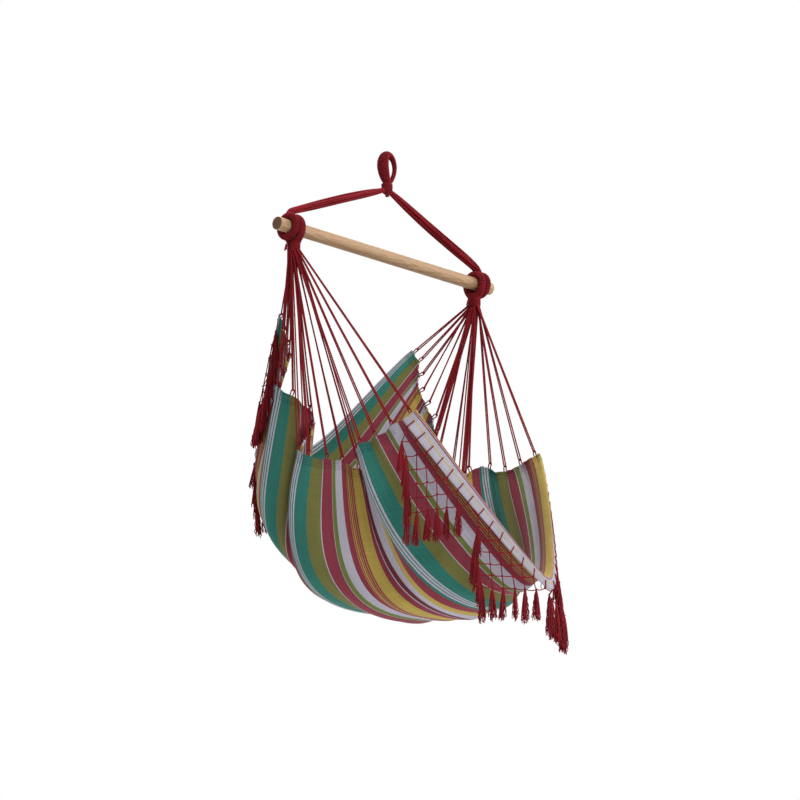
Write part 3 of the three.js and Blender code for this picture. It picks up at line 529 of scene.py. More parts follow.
middle = got(served_rope, "GeometryNodeMeshToCurve", {0: takes["lines"]})
finely = got(served_rope, "GeometryNodeResampleCurve", {
    "Curve": middle, "Count": times(takes["turns"], 32.0)}, mode="COUNT")
share = put(served_rope, "GeometryNodeSplineParameter").outputs["Factor"]
angle = times(times(share, takes["turns"]), 2 * pi)
deep_way = vectors("CROSS_PRODUCT", got(served_rope, "GeometryNodeInputTangent"), takes["side"])
fuller = got(served_rope, "GeometryNodeInputNamedAttribute", {"Name": "fuller"},
             data_type="FLOAT_VECTOR")
fullness = maths("ADD", got(served_rope, "ShaderNodeSeparateXYZ", {0: fuller}), 1.0)
offsets = []
for way, half, turn in ((takes["side"], takes["half wide"], "COSINE"),
                        (deep_way, takes["half deep"], "SINE")):
    inset = maths("MULTIPLY_ADD", takes["thick"], -0.5, half)
    reach = times(maths(turn, angle), times(inset, fullness))
    offsets.append(scaled(way, reach))
helix = got(served_rope, "GeometryNodeSetPosition", {"Geometry": finely,
                                                     "Offset": vectors("ADD", *offsets)})
serving = got(served_rope, "GeometryNodeGroup", {
    "line": helix, "thick": takes["thick"], "lay": takes["lay"], "step": takes["step"]},
    node_tree=lay_up)
coarsely = got(served_rope, "GeometryNodeResampleCurve", {"Curve": middle, "Count": 48},
               mode="COUNT")
level = got(served_rope, "GeometryNodeSetCurveNormal", {"Curve": coarsely,
                                                        "Normal": takes["side"]}, mode="FREE")
# The core carries no "ridge" mark, so its cotton is all in the darker groove colour: painted shade
# seen between the serving's turns.
core_sizes = [maths("MULTIPLY_ADD", takes["thick"], -0.75, half)
              for half in (takes["half wide"], takes["half deep"])]
oval = got(served_rope, "ShaderNodeCombineXYZ", {0: core_sizes[0], 1: core_sizes[1], 2: 1.0})
section = got(served_rope, "GeometryNodeTransform", {"Geometry": circle(served_rope, 20, 1.0),
                                                     "Scale": oval})
core = got(served_rope, "GeometryNodeCurveToMesh", {
    "Curve": level, "Profile Curve": section, "Scale": fullness, "Fill Caps": True})
whole = put(served_rope, "GeometryNodeJoinGeometry", {0: core})
fill(served_rope, whole, {0: serving})
give_solid(served_rope, gives, whole.outputs[0], takes["material"])

serving_cotton = cotton_yarn("crimson serving", (0.25, 0.0085, 0.016, 1), crimson_shade, 900.0)
serving_thick = 0.0036
eye_half_wide = 0.0265
eye_half_high = 0.0400
eye_middle = -0.0315
eye_loop = []
swelling = []
for turn in np.linspace(0, 2 * pi, 97)[:-1]:
    low_share = (1 - cos(turn)) / 2
    on_left = sin(turn) < 0
    aside = 0.003 - sin(turn) * (0.004 if on_left else -0.004)
    eye_loop.append((aside + eye_half_wide * (1 - 0.42 * low_share**1.6) * sin(turn), 0,
                     eye_middle + eye_half_high * cos(turn)))
    swelling.append((-sin(turn) * (0.72 if on_left else 0.40) - 0.2 * low_share**2, 0, 0))
eye = made_with(served_rope, "eye_served", [np.array(eye_loop)], serving_cotton, closed=True,
                marks={"fuller": swelling}, side=(0, 1, 0), half_wide=0.0115, half_deep=0.0088,
                thick=serving_thick, turns=54)
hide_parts("hanging_eye")
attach(eye, "eye")

# Neck seizing: the same cord wound tightly round the eye's foot and down over the knob that the
# legs come from, its cut ends left hanging.
pivot = np.array([0, 0, -0.090884])
neck_round = 0.0155
neck_high = 0.0168
wound_round = neck_round - serving_thick / 2
straight_wound = 0.0152
wind_turns = 9.4
wind_steps = 360
cut_tail_long = 0.017
wind = []
for turn in np.linspace(0, wind_turns, wind_steps):
    drop = turn * serving_thick * 0.98
    if drop <= straight_wound:
        height, radius = straight_wound - drop, wound_round
    else:
        bend = min((drop - straight_wound) / wound_round, pi / 2)
        height, radius = -wound_round * sin(bend), wound_round * cos(bend)
    wind.append(pivot + np.array([radius * cos(turn * 2 * pi), radius * sin(turn * 2 * pi),
                                  height]))
random = np.random.default_rng(7)
cuts = []
for x_share, y_share, length_share in ((-.42, -.30, .8), (-.25, -.45, 1), (-.40, -.05, .85),
                                       (-.2, -.2, .95), (-.1, -.4, .9)):
    start = pivot + np.array([x_share, y_share, -0.45]) * neck_round
    lean = np.append(random.uniform(-0.12, 0.12, 2), -1)
    cuts.append(eased([start + lean * drop * cut_tail_long * length_share
                       + np.append(random.uniform(-0.0008, 0.0008, 2), 0)
                       for drop in np.linspace(0, 1, 6)], 2))
neck = made_with(laid_cord, "neck_seizing_cord", [np.array(wind), *cuts], serving_cotton,
                 thick=serving_thick, lay=0.013)
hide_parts("neck_seizing")
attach(neck, "neck")


def turned_solid(name, profile, centre, material, sides=48):
    """A closed turned body from its outline, (radius, height), first and last on the axis."""
    points = [centre + np.array([0, 0, profile[0][1]])]
    for radius, height in profile[1:-1]:
        points += [centre + np.array([radius * cos(a), radius * sin(a), height])
                   for a in np.linspace(0, 2 * pi, sides + 1)[:-1]]
    points.append(centre + np.array([0, 0, profile[-1][1]]))
    last = len(points) - 1
    faces = []
    for ring in range(len(profile) - 3):
        for side in range(sides):
            a, b = 1 + ring * sides + side, 1 + ring * sides + (side + 1) % sides
            faces.append((a, a + sides, b + sides, b))
    for side in range(sides):
        beside = (side + 1) % sides
        faces.append((0, 1 + side, 1 + beside))
        faces.append((last, last - sides + beside, last - sides + side))
    mesh = bpy.data.meshes.new(name)
    mesh.from_pydata([tuple(point) for point in points], [], faces)
    mesh.materials.append(material)
    mesh.polygons.foreach_set("use_smooth", [True] * len(faces))
    return new_object(name, mesh)


knob_round = neck_round - serving_thick * 0.75
knob = [(0, neck_high)] + [(knob_round, neck_high - neck_high * step * 2)
                           for step in np.linspace(0, 1, 25)[:12]]
knob += [(knob_round * cos(bend), -knob_round * sin(bend))
         for bend in (np.linspace(0, 1, 25)[12:-1] - 0.5) * pi] + [(0, -knob_round)]
# The knob carries no "ridge" mark, so its cotton is all in the darker groove colour: painted shade
# under the winding.
neck_knob = turned_solid("neck_knob", knob, pivot, cord_cotton)
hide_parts("neck_seizing")
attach(neck_knob, "neck")

# Yoke legs: each is a bundle of some twenty-four cords, drawn together at both ends and slack
# between, so that they bow apart, lie side by side and cross a little, from the neck over the
# fan's ring into its own ring on the bar.
leg_cord_thick = 0.0041
leg_layers = ((-2, 4), (-1, 5), (0, 6), (1, 5), (2, 4))
ring_bore = 0.018149
ring_middle = ring_bore + ring_bundle / 2
ring_outside = ring_middle + ring_bundle / 2
leg_lift = 0.0065
leg_bend_lift = 0.0035
cords_apart = 1.12
layers_apart = 0.98
leg_rest = bar_axis[2] + ring_outside + play + leg_lift
fan_bundle_x = fan_ring_x - 0.002
sideways = np.array([0, 1, 0])
random = np.random.default_rng(21)
for side in (-1, 1):
    bend = np.array([side * fan_bundle_x, 0, leg_rest + leg_bend_lift])
    reach = unit(bend - pivot)
    square = np.cross(reach, sideways) * side
    run_length = np.linalg.norm(bend - pivot)
    stations = [(pivot + reach * run, wide, deep) for run, wide, deep in (
        (neck_round * 0.75, 0.42, 0.50), (0.032, 0.52, 0.66), (0.065, 0.72, 0.88),
        (0.115, 0.94, 1.0), (0.175, 1.06, 1.06), (0.235, 1.08, 1.06),
        (run_length - 0.085, 1.04, 1.04), (run_length - 0.045, 0.98, 0.98),
        (run_length - 0.016, 0.90, 0.92), (run_length, 0.88, 0.88))]
    stations += [(np.array([side * x, 0, leg_rest + lift]), wide, deep) for x, lift, wide, deep in (
        (yoke_ring_x - 0.010, -0.0030, 0.84, 0.84), (yoke_ring_x, -0.0155, 0.76, 0.76))]
    strands = []
    for layer, count in leg_layers:
        for number in range(count):
            wide = (number - (count - 1) / 2) * leg_cord_thick * cords_apart
            deep = layer * leg_cord_thick * layers_apart
            phase, other = random.uniform(0, 2 * pi, 2)
            size, turn = random.uniform(0.0005, 0.0017), random.uniform(-0.4, 0.7)
            strand = []
            for index, (spot, wide_share, deep_share) in enumerate(stations):
                run = index / (len(stations) - 1)
                loose = sin(pi * run)**0.8
                angle = turn * loose
                swayed = (wide * cos(angle) - deep * sin(angle)) * wide_share
                raised = (deep * cos(angle) + wide * sin(angle)) * deep_share
                swayed += size * sin(2 * pi * run * 1.5 + phase) * loose
                raised += size * sin(2 * pi * run * 1.2 + other) * loose
                strand.append(spot + sideways * swayed + square * raised)
            strands.append(eased(strand, 3))
    leg = made_with(laid_cord, f"leg_{hand_names[side]}", strands, cord_cotton,
                    thick=leg_cord_thick, lay=0.017)
    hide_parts(f"yoke_leg_{hand_names[side]}")
    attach(leg, "yoke")

# Rings on the bar: each bundle of cords is bent round the bar and served close. The yoke's ring
# is a plain round; the fan's comes together below the bar, where it is bound into a neck.
limb = [(0.0074, -0.0500), (0.0080, -0.0430), (0.0122, -0.0345), (0.0222, -0.0232),
        (0.0279, -0.0090), (0.0283, 0.0040), (0.0235, 0.0160), (0.0140, 0.0250)]
drop_shape = limb + [(0, 0.0283)] + [(-y, z) for y, z in reversed(limb)]
tail_starts = ((-0.0150, 0.0110, -0.3250, 0.019), (-0.0125, 0.0145, -0.3270, 0.016),
               (-0.0162, 0.0070, -0.3290, 0.013))
tail_way = np.array([-0.16, 0.16, -1])
for side in (-1, 1):
    hand = hand_names[side]
    around = np.array([(side * yoke_ring_x, ring_middle * sin(angle), ring_middle * cos(angle))
                       for angle in np.linspace(0, 2 * pi, 65)[:-1]]) + bar_axis
    ring = made_with(served_rope, f"ring_yoke_{hand}", [around], serving_cotton, closed=True,
                     side=(1, 0, 0), half_wide=0.0098, half_deep=0.0099, thick=serving_thick,
                     turns=46)
    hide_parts(f"yoke_ring_{hand}")
    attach(ring, "yoke")
    outline = np.array([(side * fan_bundle_x, y, z) for y, z in drop_shape]) + bar_axis
    ring = made_with(served_rope, f"ring_fan_{hand}", [eased(outline, 2)], serving_cotton,
                     side=(1, 0, 0), half_wide=0.0118, half_deep=0.0098, thick=serving_thick,
                     turns=56)
    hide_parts(f"fan_ring_{hand}")
    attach(ring, "seat")
    upright = np.array([(side * fan_bundle_x, 0, z) for z in np.linspace(-.311, -.3465, 9)])
    neck = made_with(served_rope, f"fan_binding_{hand}", [upright], serving_cotton,
                     side=(1, 0, 0), half_wide=0.0155, half_deep=0.0180, thick=serving_thick,
                     turns=9)
    ends = []
    for x, y, z, long in tail_starts:
        start = np.array([side * fan_ring_x + x, y, z])
        ends.append(np.array([start + tail_way * long * step for step in np.linspace(0, 1, 7)]))
    tails = made_with(laid_cord, f"fan_tails_{hand}", ends, serving_cotton, thick=0.0042,
                      lay=0.012)
    for piece in (neck, tails):
        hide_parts(f"fan_neck_{hand}")
        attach(piece, "seat")

# Spreader bar: one turned and sanded beech rod, oiled, its two ends sawn square and a little
# broken at the edge.
bar_half = 0.425
bar_round = 0.0175
outline = [(0, -bar_half), (bar_round * 0.5, -bar_half), (bar_round - 0.0012, -bar_half),
           (bar_round - 0.0004, -bar_half + 0.0004), (bar_round, -bar_half + 0.0014)]
outline += [(bar_round, z) for z in np.linspace(-bar_half + 0.02, bar_half - 0.02, 24)]
outline += [(radius, -height) for radius, height in reversed(outline[:5])]


def two_colours(factor, first, second):
    ramp = put(tree_of(factor), "ShaderNodeValToRGB", {"Fac": factor})
    ramp.color_ramp.elements[0].color = first
    ramp.color_ramp.elements[1].color = second
    return ramp.outputs["Color"]


beech, tree, shader, place = new_material("oiled beech")
centred = got(tree, "ShaderNodeMapping", {"Vector": place, "Location": (0, 0, -bar_axis[2])})
long_way = got(tree, "ShaderNodeMapping", {"Vector": centred, "Scale": (0.045, 1.0, 1.0)})
bend_of_grain = put(tree, "ShaderNodeTexNoise", {"Vector": long_way, "Scale": 60.0,
                                                 "Detail": 2.0}).outputs["Color"]
grain_place = vectors("ADD", long_way, scaled(bend_of_grain, 0.012))
year_rings = put(tree, "ShaderNodeTexWave", {
    "Vector": grain_place, "Scale": 95.0, "Distortion": 2.2, "Detail": 3.0, "Detail Scale": 1.4},
    wave_type="RINGS", rings_direction="Y").outputs["Fac"]
pores = noise(long_way, 1500.0, 2.0)
grain = two_colours(year_rings, (0.390, 0.228, 0.115, 1), (0.520, 0.340, 0.190, 1))
flecked = scaled(grain, spread(pores, 0.80, 1.04, 0.35, 0.6))
along_bar = got(tree, "ShaderNodeSeparateXYZ", {0: centred})
on_end = spread(maths("ABSOLUTE", along_bar), 0.0, 1.0, bar_half - 0.0009, bar_half - 0.0003)
end_rings = put(tree, "ShaderNodeTexWave", {
    "Vector": centred, "Scale": 260.0, "Distortion": 3.0, "Detail": 2.0},
    wave_type="RINGS", rings_direction="X").outputs["Fac"]
end_grain = two_colours(end_rings, (0.075, 0.030, 0.010, 1), (0.150, 0.070, 0.028, 1))
bump = got(tree, "ShaderNodeBump", {"Height": pores, "Strength": 0.25, "Distance": 0.0003})
fill(tree, shader, {"Base Color": mixed(on_end, flecked, end_grain), "Normal": bump,
                    "Roughness": spread(pores, 0.42, 0.68), "Specular IOR Level": 0.35})

bar = turned_solid("bar_rod", outline, np.zeros(3), beech, 64)
turned = np.array([vertex.co for vertex in bar.data.vertices])
bar.data.vertices.foreach_set("co", (np.stack([turned[:, 2], turned[:, 1], -turned[:, 0]], 1)
                                     + bar_axis).ravel())
bar.data.update()
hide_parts("spreader_bar")
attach(bar, "yoke")

# Seat cloth: one piece of yarn-dyed cotton cloth, its stripes running from hem to hem. Both hems
# are turned over and gathered on four rows of thread, and the front edge is turned out and down.
cloth_columns = 168
cloth_rows = 216
turn_out_rows = 16
hem_wide = 0.024
single_half = 0.0005
stitched_half = 0.0008
doubled_half = 0.0011
rolled_edge = 0.0016
columns = np.linspace(-1, 1, cloth_columns + 1)
columns = np.sign(columns) * (1 - (1 - np.abs(columns))**1.3)
rows = np.concatenate([np.linspace(0, 1, cloth_rows), np.linspace(.952, .984, turn_out_rows)])
grid_column, grid_row = np.meshgrid(columns, np.unique(np.round(rows, 5)))
middle_sheet = draped_place(grid_column, grid_row)
steps = np.linalg.norm(np.diff(middle_sheet, axis=1), axis=2)
from_left = np.concatenate([np.zeros((len(steps), 1)), np.cumsum(steps, 1)], 1)
hem_distance = np.minimum(from_left, from_left[:, -1:] - from_left)
outward = unit(np.cross(np.gradient(middle_sheet, axis=1), np.gradient(middle_sheet, axis=0)))
half_thick = np.where(hem_distance < hem_wide + 0.003, stitched_half, single_half)
half_thick = np.where(hem_distance < hem_wide, doubled_half, half_thick)
half_thick += rolled_edge * np.clip(2.2 - hem_distance / 0.004, 0, 1)
swell = outward * half_thick[..., None]
points = np.concatenate([middle_sheet + swell, middle_sheet - swell]).reshape(-1, 3)
count = grid_row.size
numbers = np.arange(count).reshape(grid_row.shape)
a, b = numbers[:-1, :-1].ravel(), numbers[:-1, 1:].ravel()
c, d = numbers[1:, 1:].ravel(), numbers[1:, :-1].ravel()
rim = np.concatenate([numbers[0, :], numbers[1:, -1], numbers[-1, -2::-1], numbers[-2::-1, 0]])
start, end = rim[:-1], rim[1:]
faces = np.concatenate([np.stack([a, b, c, d], 1), np.stack([a, d, c, b], 1) + count,
                        np.stack([end, start, start + count, end + count], 1)])
cloth_mesh = bpy.data.meshes.new("cloth")
cloth_mesh.from_pydata(points.tolist(), [], faces.tolist())
cloth_mesh.polygons.foreach_set("use_smooth", [True] * len(faces))
thread_map = np.tile(np.stack([from_left.ravel(), grid_row.ravel() * cloth_length], 1), (2, 1))
uv_layer = cloth_mesh.uv_layers.new(name="threads")
corner_points = np.zeros(len(cloth_mesh.loops), int)
cloth_mesh.loops.foreach_get("vertex_index", corner_points)
uv_layer.data.foreach_set("uv", thread_map[corner_points].astype(np.float32).ravel())
mark = cloth_mesh.attributes.new("hem_distance", "FLOAT", "POINT")
mark.data.foreach_set("value", np.tile(hem_distance.ravel(), 2).astype(np.float32))
cloth = new_object("cloth", cloth_mesh)

# The stripes in millimetres from the back edge, three repeats and then the front part.
white = (0.49, 0.465, 0.55)
teal = (0.017, 0.178, 0.140)
olive = (0.165, 0.165, 0.040)
stripe_red = (0.255, 0.030, 0.052)
dark_red = (0.135, 0.014, 0.028)
green = (0.150, 0.190, 0.035)
mustard = (0.510, 0.370, 0.075)
yellow = (0.60, 0.47, 0.10)
triple_line = [(5, white), (4, teal)] * 2 + [(5, white)]
pinstripes = [(3, stripe_red)] + [(1.6, mustard), (3.2, stripe_red)] * 3
pinstripes += [(1.6, mustard), (4, stripe_red)]
opening = triple_line + [(40, teal), (36, olive), (2, white), (34, stripe_red), (2, white),
                         (13, green), (25, white), (12, stripe_red)] + pinstripes
repeat = opening + [(30, mustard), (15, stripe_red), (2, white), (14, dark_red), (23, white),
                    (20, mustard), (21, stripe_red), (9, teal)]
front_part = opening + [(41, mustard), (4, stripe_red), (2, white), (3, stripe_red),
                        (9.5, white), (1.5, yellow), (18, white)]


def millimetres(bands):
    return sum(wide for wide, _ in bands)


def stripes(bands, distance):
    """The colours of some stripes, where distance goes from 0 to 1 over all of them."""
    ramp = put(tree_of(distance), "ShaderNodeValToRGB", {"Fac": distance})
    ramp.color_ramp.interpolation = "CONSTANT"
    for number, (_, colour) in enumerate(bands):
        at = millimetres(bands[:number]) / millimetres(bands)
        if number < 2:
            element = ramp.color_ramp.elements[number]
            element.position = at
        else:
            element = ramp.color_ramp.elements.new(at)
        element.color = (*colour, 1)
    return ramp.outputs["Color"]


yarn_dyed, tree, shader, place = new_material("striped cotton")
threads = got(tree, "ShaderNodeUVMap", uv_map="threads")
down_threads = put(tree, "ShaderNodeSeparateXYZ", {0: threads}).outputs["Y"]
loose_edge = maths("MULTIPLY_ADD", noise(threads, 160.0, 1.0), 0.0012, -0.0006)
down_cloth = maths("ADD", down_threads, loose_edge)
repeat_long = millimetres(repeat) / 1000
front_start = millimetres(repeat) * 3 / 1000
front_end = front_start + millimetres(front_part) / 1000
in_repeat = maths("FRACT", maths("DIVIDE", down_cloth, repeat_long))
in_front = spread(down_cloth, 0.0, 1.0, front_start, front_end)
past_repeats = maths("GREATER_THAN", down_cloth, front_start)
dyed = mixed(past_repeats, stripes(repeat, in_repeat), stripes(front_part, in_front))


def stretched(vector, x_scale, y_scale):
    return got(tree_of(vector), "ShaderNodeMapping", {"Vector": vector,
                                                      "Scale": (x_scale, y_scale, 1.0)})


# Plain weave: threads over and under, each a little thicker or thinner than the next.
plain_weave, takes, gives = new_tree("ShaderNodeTree", "plain weave", {
    "threads": ("Vector", None), "colour": ("Color", (1, 1, 1, 1)), "count": ("Float", 1250.0)},
    {"colour": "Color", "height": "Float"})
counted = put(plain_weave, "ShaderNodeSeparateXYZ", {
    0: scaled(takes["threads"], takes["count"])}).outputs
over = times(*[maths("SINE", times(counted[way], pi)) for way in "XY"])
slubs = noise(stretched(takes["threads"], 4.0, 700.0), 1.0, 2.0)
crossing = noise(stretched(takes["threads"], 520.0, 6.0), 1.0, 2.0)
tone = times(spread(slubs, 0.84, 1.16, 0.3, 0.7), spread(crossing, 0.9, 1.1, 0.3, 0.7))
weft_shows = spread(over, 0.0, 0.16, 0.1, 0.9)
woven = mixed(weft_shows, scaled(takes["colour"], tone), (0.42, 0.36, 0.36, 1))
fill(plain_weave, gives, {"colour": woven, "height": maths("MULTIPLY_ADD", over, 0.5, 0.5)})

weave = put(tree, "ShaderNodeGroup", {"threads": threads, "colour": dyed},
            node_tree=plain_weave).outputs

# The hem's gathering threads, 5 mm from row to row, and the little pleats that they draw up;
# between the rows the colour is darkened as painted shade in the gathers.
gather_row_apart = 0.0052
to_hem = put(tree, "ShaderNodeAttribute", attribute_name="hem_distance").outputs["Fac"]
in_hem_cloth = spread(to_hem, 1.0, 0.0, hem_wide + 0.0005, hem_wide + 0.0015)
row_beat = maths("COSINE", times(to_hem, 2 * pi / gather_row_apart))
rows_high = times(row_beat, in_hem_cloth)
pleats = noise(stretched(threads, 18.0, 190.0), 1.0, 1.0)
pleats_high = times(pleats, spread(to_hem, 1.0, 0.0, 0.0, 0.085))
# Painted shade: the cloth's colour darkens between the gathering rows.
with_painted_gather_shade = scaled(weave["colour"], spread(rows_high, 0.72, 1.08, -1.0, 1.0))
washed = noise(place, 9.0, 4.0)
crumples = got(tree, "ShaderNodeTexNoise", {"Vector": stretched(threads, 9.0, 26.0),
                                            "Scale": 1.0, "Detail": 4.0, "Roughness": 0.55})
normal = got(tree, "ShaderNodeBump", {"Height": crumples, "Strength": 0.55, "Distance": 0.006})
for height, strength, distance in ((pleats_high, 0.7, 0.004), (rows_high, 0.9, 0.0010),
                                   (weave["height"], 0.35, 0.0003)):
    normal = got(tree, "ShaderNodeBump", {"Height": height, "Strength": strength,
                                          "Distance": distance, "Normal": normal})
fill(tree, shader, {
    "Base Color": scaled(with_painted_gather_shade, spread(washed, 0.93, 1.07, 0.3, 0.7)),
    "Roughness": spread(washed, 0.8, 0.95), "Normal": normal,
    "Specular IOR Level": 0.15, "Sheen Weight": 0.08, "Sheen Roughness": 0.5})
cloth.data.materials.append(yarn_dyed)
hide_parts("seat_cloth")
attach(cloth, "seat")

# Blanket stitches: the fringe's own thread goes up over the turned-out band every 42 mm or so,
# down round the selvedge and into a knot.
stitch_count = 28
stitch_thick = 0.0029
stitch_high = 0.0190
stitch_lift = 0.0005 + stitch_thick / 2


def even_columns(share, count):
    """Columns at even distances along a row of the cloth, half a step in from each hem."""
    fine = np.linspace(-1, 1, 801)
    run = np.linalg.norm(np.diff(cloth_place(fine, share), axis=0), axis=1)
    run = np.concatenate([[0], np.cumsum(run)])
    return np.interp((np.arange(count) + 0.5) / count * run[-1], run, fine)


def on_band(column, up, lean, lift):
    """A place some way up the turned-out band from the selvedge, lifted off its hidden face."""
    share = 1 - up / cloth_length
    return draped_place(column + lean, share) + cloth_outward(column, share) * lift


stitches = []
random = np.random.default_rng(3)
for column in even_columns(1.0, stitch_count):
    high = stitch_high + random.uniform(-0.0018, 0.0018)
    lean = 0.003 + random.uniform(-0.004, 0.004)
    dip = on_band(column, high, lean, 0)
    outside = [on_band(column, high * t, lean * t, -stitch_lift) for t in np.linspace(1, 0, 8)]
    selvedge = draped_place(column, 1.0)
    below = selvedge + unit(selvedge - draped_place(column, 0.995)) * stitch_lift * 1.3
    inside = [on_band(column, up, 0, stitch_lift) for up in (0, 0.003, 0.006)]
    stitches.append(eased([dip, *outside, below, *inside], 1))
stitching = made_with(laid_cord, "band_stitches", stitches, cord_cotton, thick=stitch_thick,
                      lay=0.008, step=0.0014)
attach(stitching, "seat")

# Fringes: along the front selvedge and the back edge hang nets of knotted cotton, each narrowing
# row by row to four points of seven stitches, with a tassel of loose crinkled yarn under every
# knot of the points' lower sides.
net_points = 4
point_stitches = 7
row_deep = 0.022
net_depth = row_deep * (point_stitches - 1)
strand_thick = 0.0025
tassel_long = 0.080
tassel_strands = 30
down = np.array([0, 0, -1])
front_sway = np.array([-0.7, 0.7, 0])


def front_net_place(column, depth):
    """From the turned-out edge, square to it and down on the left, fanned out below the keel."""
    edge = unit(cloth_place(min(column + 0.05, 1), 1) - cloth_place(max(column - 0.05, -1), 1))
    square = unit(down - down.dot(edge) * edge)
    drawn = np.interp(column, (-1, -0.55, -0.45, -0.12, 0.06), (0.40, 0.40, 0.13, 0.20, 1))
    sway = front_sway * np.interp(column, (-0.04, 0.04, 0.11, 0.14, 0.18, 0.21, 0.25, 0.32, 0.5),
                                  (0, 0.95, 0.75, 0.6, 0.34, 0.1, -0.12, -0.16, 0.04))
    way = unit(square * (1 - drawn) + down * drawn) + sway
    reach = min(depth, net_depth) * np.interp(column, (-0.55, -0.45, 0, 0.1), (1.1, 0.88, 0.88, 1))
    return draped_place(column, 1.0) + way * reach + down * (max(depth - net_depth, 0) + 0.001)


def back_net_place(column, depth):
    """Down the outside of the back panel, which bellies out under the edge."""
    share = (min(depth, net_depth) * 1.35 + max(depth - net_depth, 0)) / cloth_length
    clear = 0.0028 + 0.0170 * min(depth / net_depth, 1) + 0.010 * (depth > net_depth)
    return draped_place(column, share) + cloth_outward(column, share) * clear


def store_mark(tree, geometry, label, value):
    return got(tree, "GeometryNodeStoreNamedAttribute", {
        "Geometry": geometry, "Name": label, "Value": value},
        data_type="FLOAT_VECTOR", domain="POINT")


# The tassel tree: many strands from each root, all a little apart, crinkled and spread.
tassels, takes, gives = new_tree("GeometryNodeTree", "tassels", {
    "roots": ("Geometry", None), "strands": ("Int", tassel_strands), "thick": ("Float", 0.0022),
    "spread": ("Float", 0.0090), "crinkle": ("Float", 0.0019), "seed": ("Int", 1),
    "material": ("Material", None)}, {"tassels": "Geometry"})
roots = got(tassels, "GeometryNodeMeshToPoints", {"Mesh": takes["roots"]})
stored = got(tassels, "GeometryNodeDuplicateElements", {"Geometry": roots,
                                                        "Amount": takes["strands"]}, domain="POINT")
number = got(tassels, "GeometryNodeInputIndex")
for label, low_value, high_value, extra in (("way", (-1, -1, -0.3), (1, 1, 0.3), 0.0),
                                            ("wave", (-1, -1, -0.2), (1, 1, 0.2), 40.0),
                                            ("chance", (0, 0, 0), (1, 1, 1), 80.0)):
    lot = got(tassels, "FunctionNodeRandomValue", {
        0: low_value, 1: high_value, "ID": number,
        "Seed": maths("ADD", takes["seed"], extra)}, data_type="FLOAT_VECTOR")
    stored = store_mark(tassels, stored, label, lot)
stored = store_mark(tassels, stored, "root", got(tassels, "GeometryNodeInputPosition"))
straight = got(tassels, "GeometryNodeCurvePrimitiveLine", {"End": (0, 0, -1)}, mode="POINTS")
fine = got(tassels, "GeometryNodeResampleCurve", {"Curve": straight, "Count": 15}, mode="COUNT")
strung = got(tassels, "GeometryNodeInstanceOnPoints", {"Points": stored, "Instance": fine})
loose_ends = got(tassels, "GeometryNodeRealizeInstances", {0: strung})
marks = {label: got(tassels, "GeometryNodeInputNamedAttribute", {"Name": label},
                    data_type="FLOAT_VECTOR")
         for label in ("way", "wave", "chance", "root", "hang")}
chances = put(tassels, "ShaderNodeSeparateXYZ", {0: marks["chance"]}).outputs
down_share = put(tassels, "GeometryNodeSplineParameter").outputs["Factor"]
long_share = maths("MULTIPLY_ADD", chances["X"], 0.22, 0.80)
fallen = scaled(marks["hang"], times(down_share, long_share))
opened = maths("POWER", down_share, 0.6)
apart_way = scaled(marks["way"], times(opened, takes["spread"]))
turns = maths("MULTIPLY_ADD", chances["Y"], 16.0, 24.0)
phase = times(chances["Z"], 6.28)
swing = maths("SINE", maths("MULTIPLY_ADD", down_share, turns, phase))
grown = maths("MULTIPLY_ADD", down_share, 0.8, 0.35)
bend = times(times(swing, grown), takes["crinkle"])
total = marks["root"]
for part in (fallen, apart_way, scaled(marks["wave"], bend)):
    total = vectors("ADD", total, part)
hung = got(tassels, "GeometryNodeSetPosition", {"Geometry": loose_ends, "Position": total})
shade = got(tassels, "GeometryNodeStoreNamedAttribute", {
    "Geometry": hung, "Name": "ridge", "Value": chances["Y"]}, data_type="FLOAT", domain="POINT")
section = circle(tassels, 4, times(takes["thick"], 0.5))
yarn = got(tassels, "GeometryNodeCurveToMesh", {"Curve": shade, "Profile Curve": section,
                                                "Fill Caps": True})
give_solid(tassels, gives, yarn, takes["material"])

# The knot tree: an overhand knot of the net's thread on each point, turned this way and that.
knots, takes, gives = new_tree("GeometryNodeTree", "overhand knots", {
    "places": ("Geometry", None), "size": ("Float", 0.001), "thick": ("Float", strand_thick),
    "seed": ("Int", 2), "material": ("Material", None)}, {"knots": "Geometry"})
spots = got(knots, "GeometryNodeMeshToPoints", {"Mesh": takes["places"]})
turn = times(put(knots, "GeometryNodeSplineParameter").outputs["Factor"], 2 * pi)


def wave(kind, beats):
    return maths(kind, times(turn, beats))


tied = got(knots, "ShaderNodeCombineXYZ", {
    0: maths("MULTIPLY_ADD", wave("SINE", 2.0), 2.0, wave("SINE", 1.0)),
    1: maths("MULTIPLY_ADD", wave("COSINE", 2.0), -2.0, wave("COSINE", 1.0)),
    2: times(wave("SINE", 3.0), -1.3)})
shaped = got(knots, "GeometryNodeSetPosition", {"Geometry": circle(knots, 18, 1.0),
                                                "Position": scaled(tied, takes["size"])})
section = circle(knots, 5, times(takes["thick"], 0.5))
one_knot = got(knots, "GeometryNodeCurveToMesh", {"Curve": shaped, "Profile Curve": section})
turned_lot = got(knots, "FunctionNodeRandomValue", {
    0: (-0.5, -0.5, -3.1), 1: (0.5, 0.5, 3.1), "ID": got(knots, "GeometryNodeInputIndex"),
    "Seed": takes["seed"]}, data_type="FLOAT_VECTOR")
upright = vectors("ADD", turned_lot, (1.57, 0, 0))
placed = got(knots, "GeometryNodeInstanceOnPoints", {"Points": spots, "Instance": one_knot,
                                                     "Rotation": upright})
give_solid(knots, gives, placed, takes["material"])


def hung_strand(start, end, slack, stir):
    """A strand of the net from one knot to another, hanging slack between."""
    return np.array([start + (end - start) * t + (down * slack + stir) * 4 * t * (1 - t)
                     for t in np.linspace(0, 1, 7)])


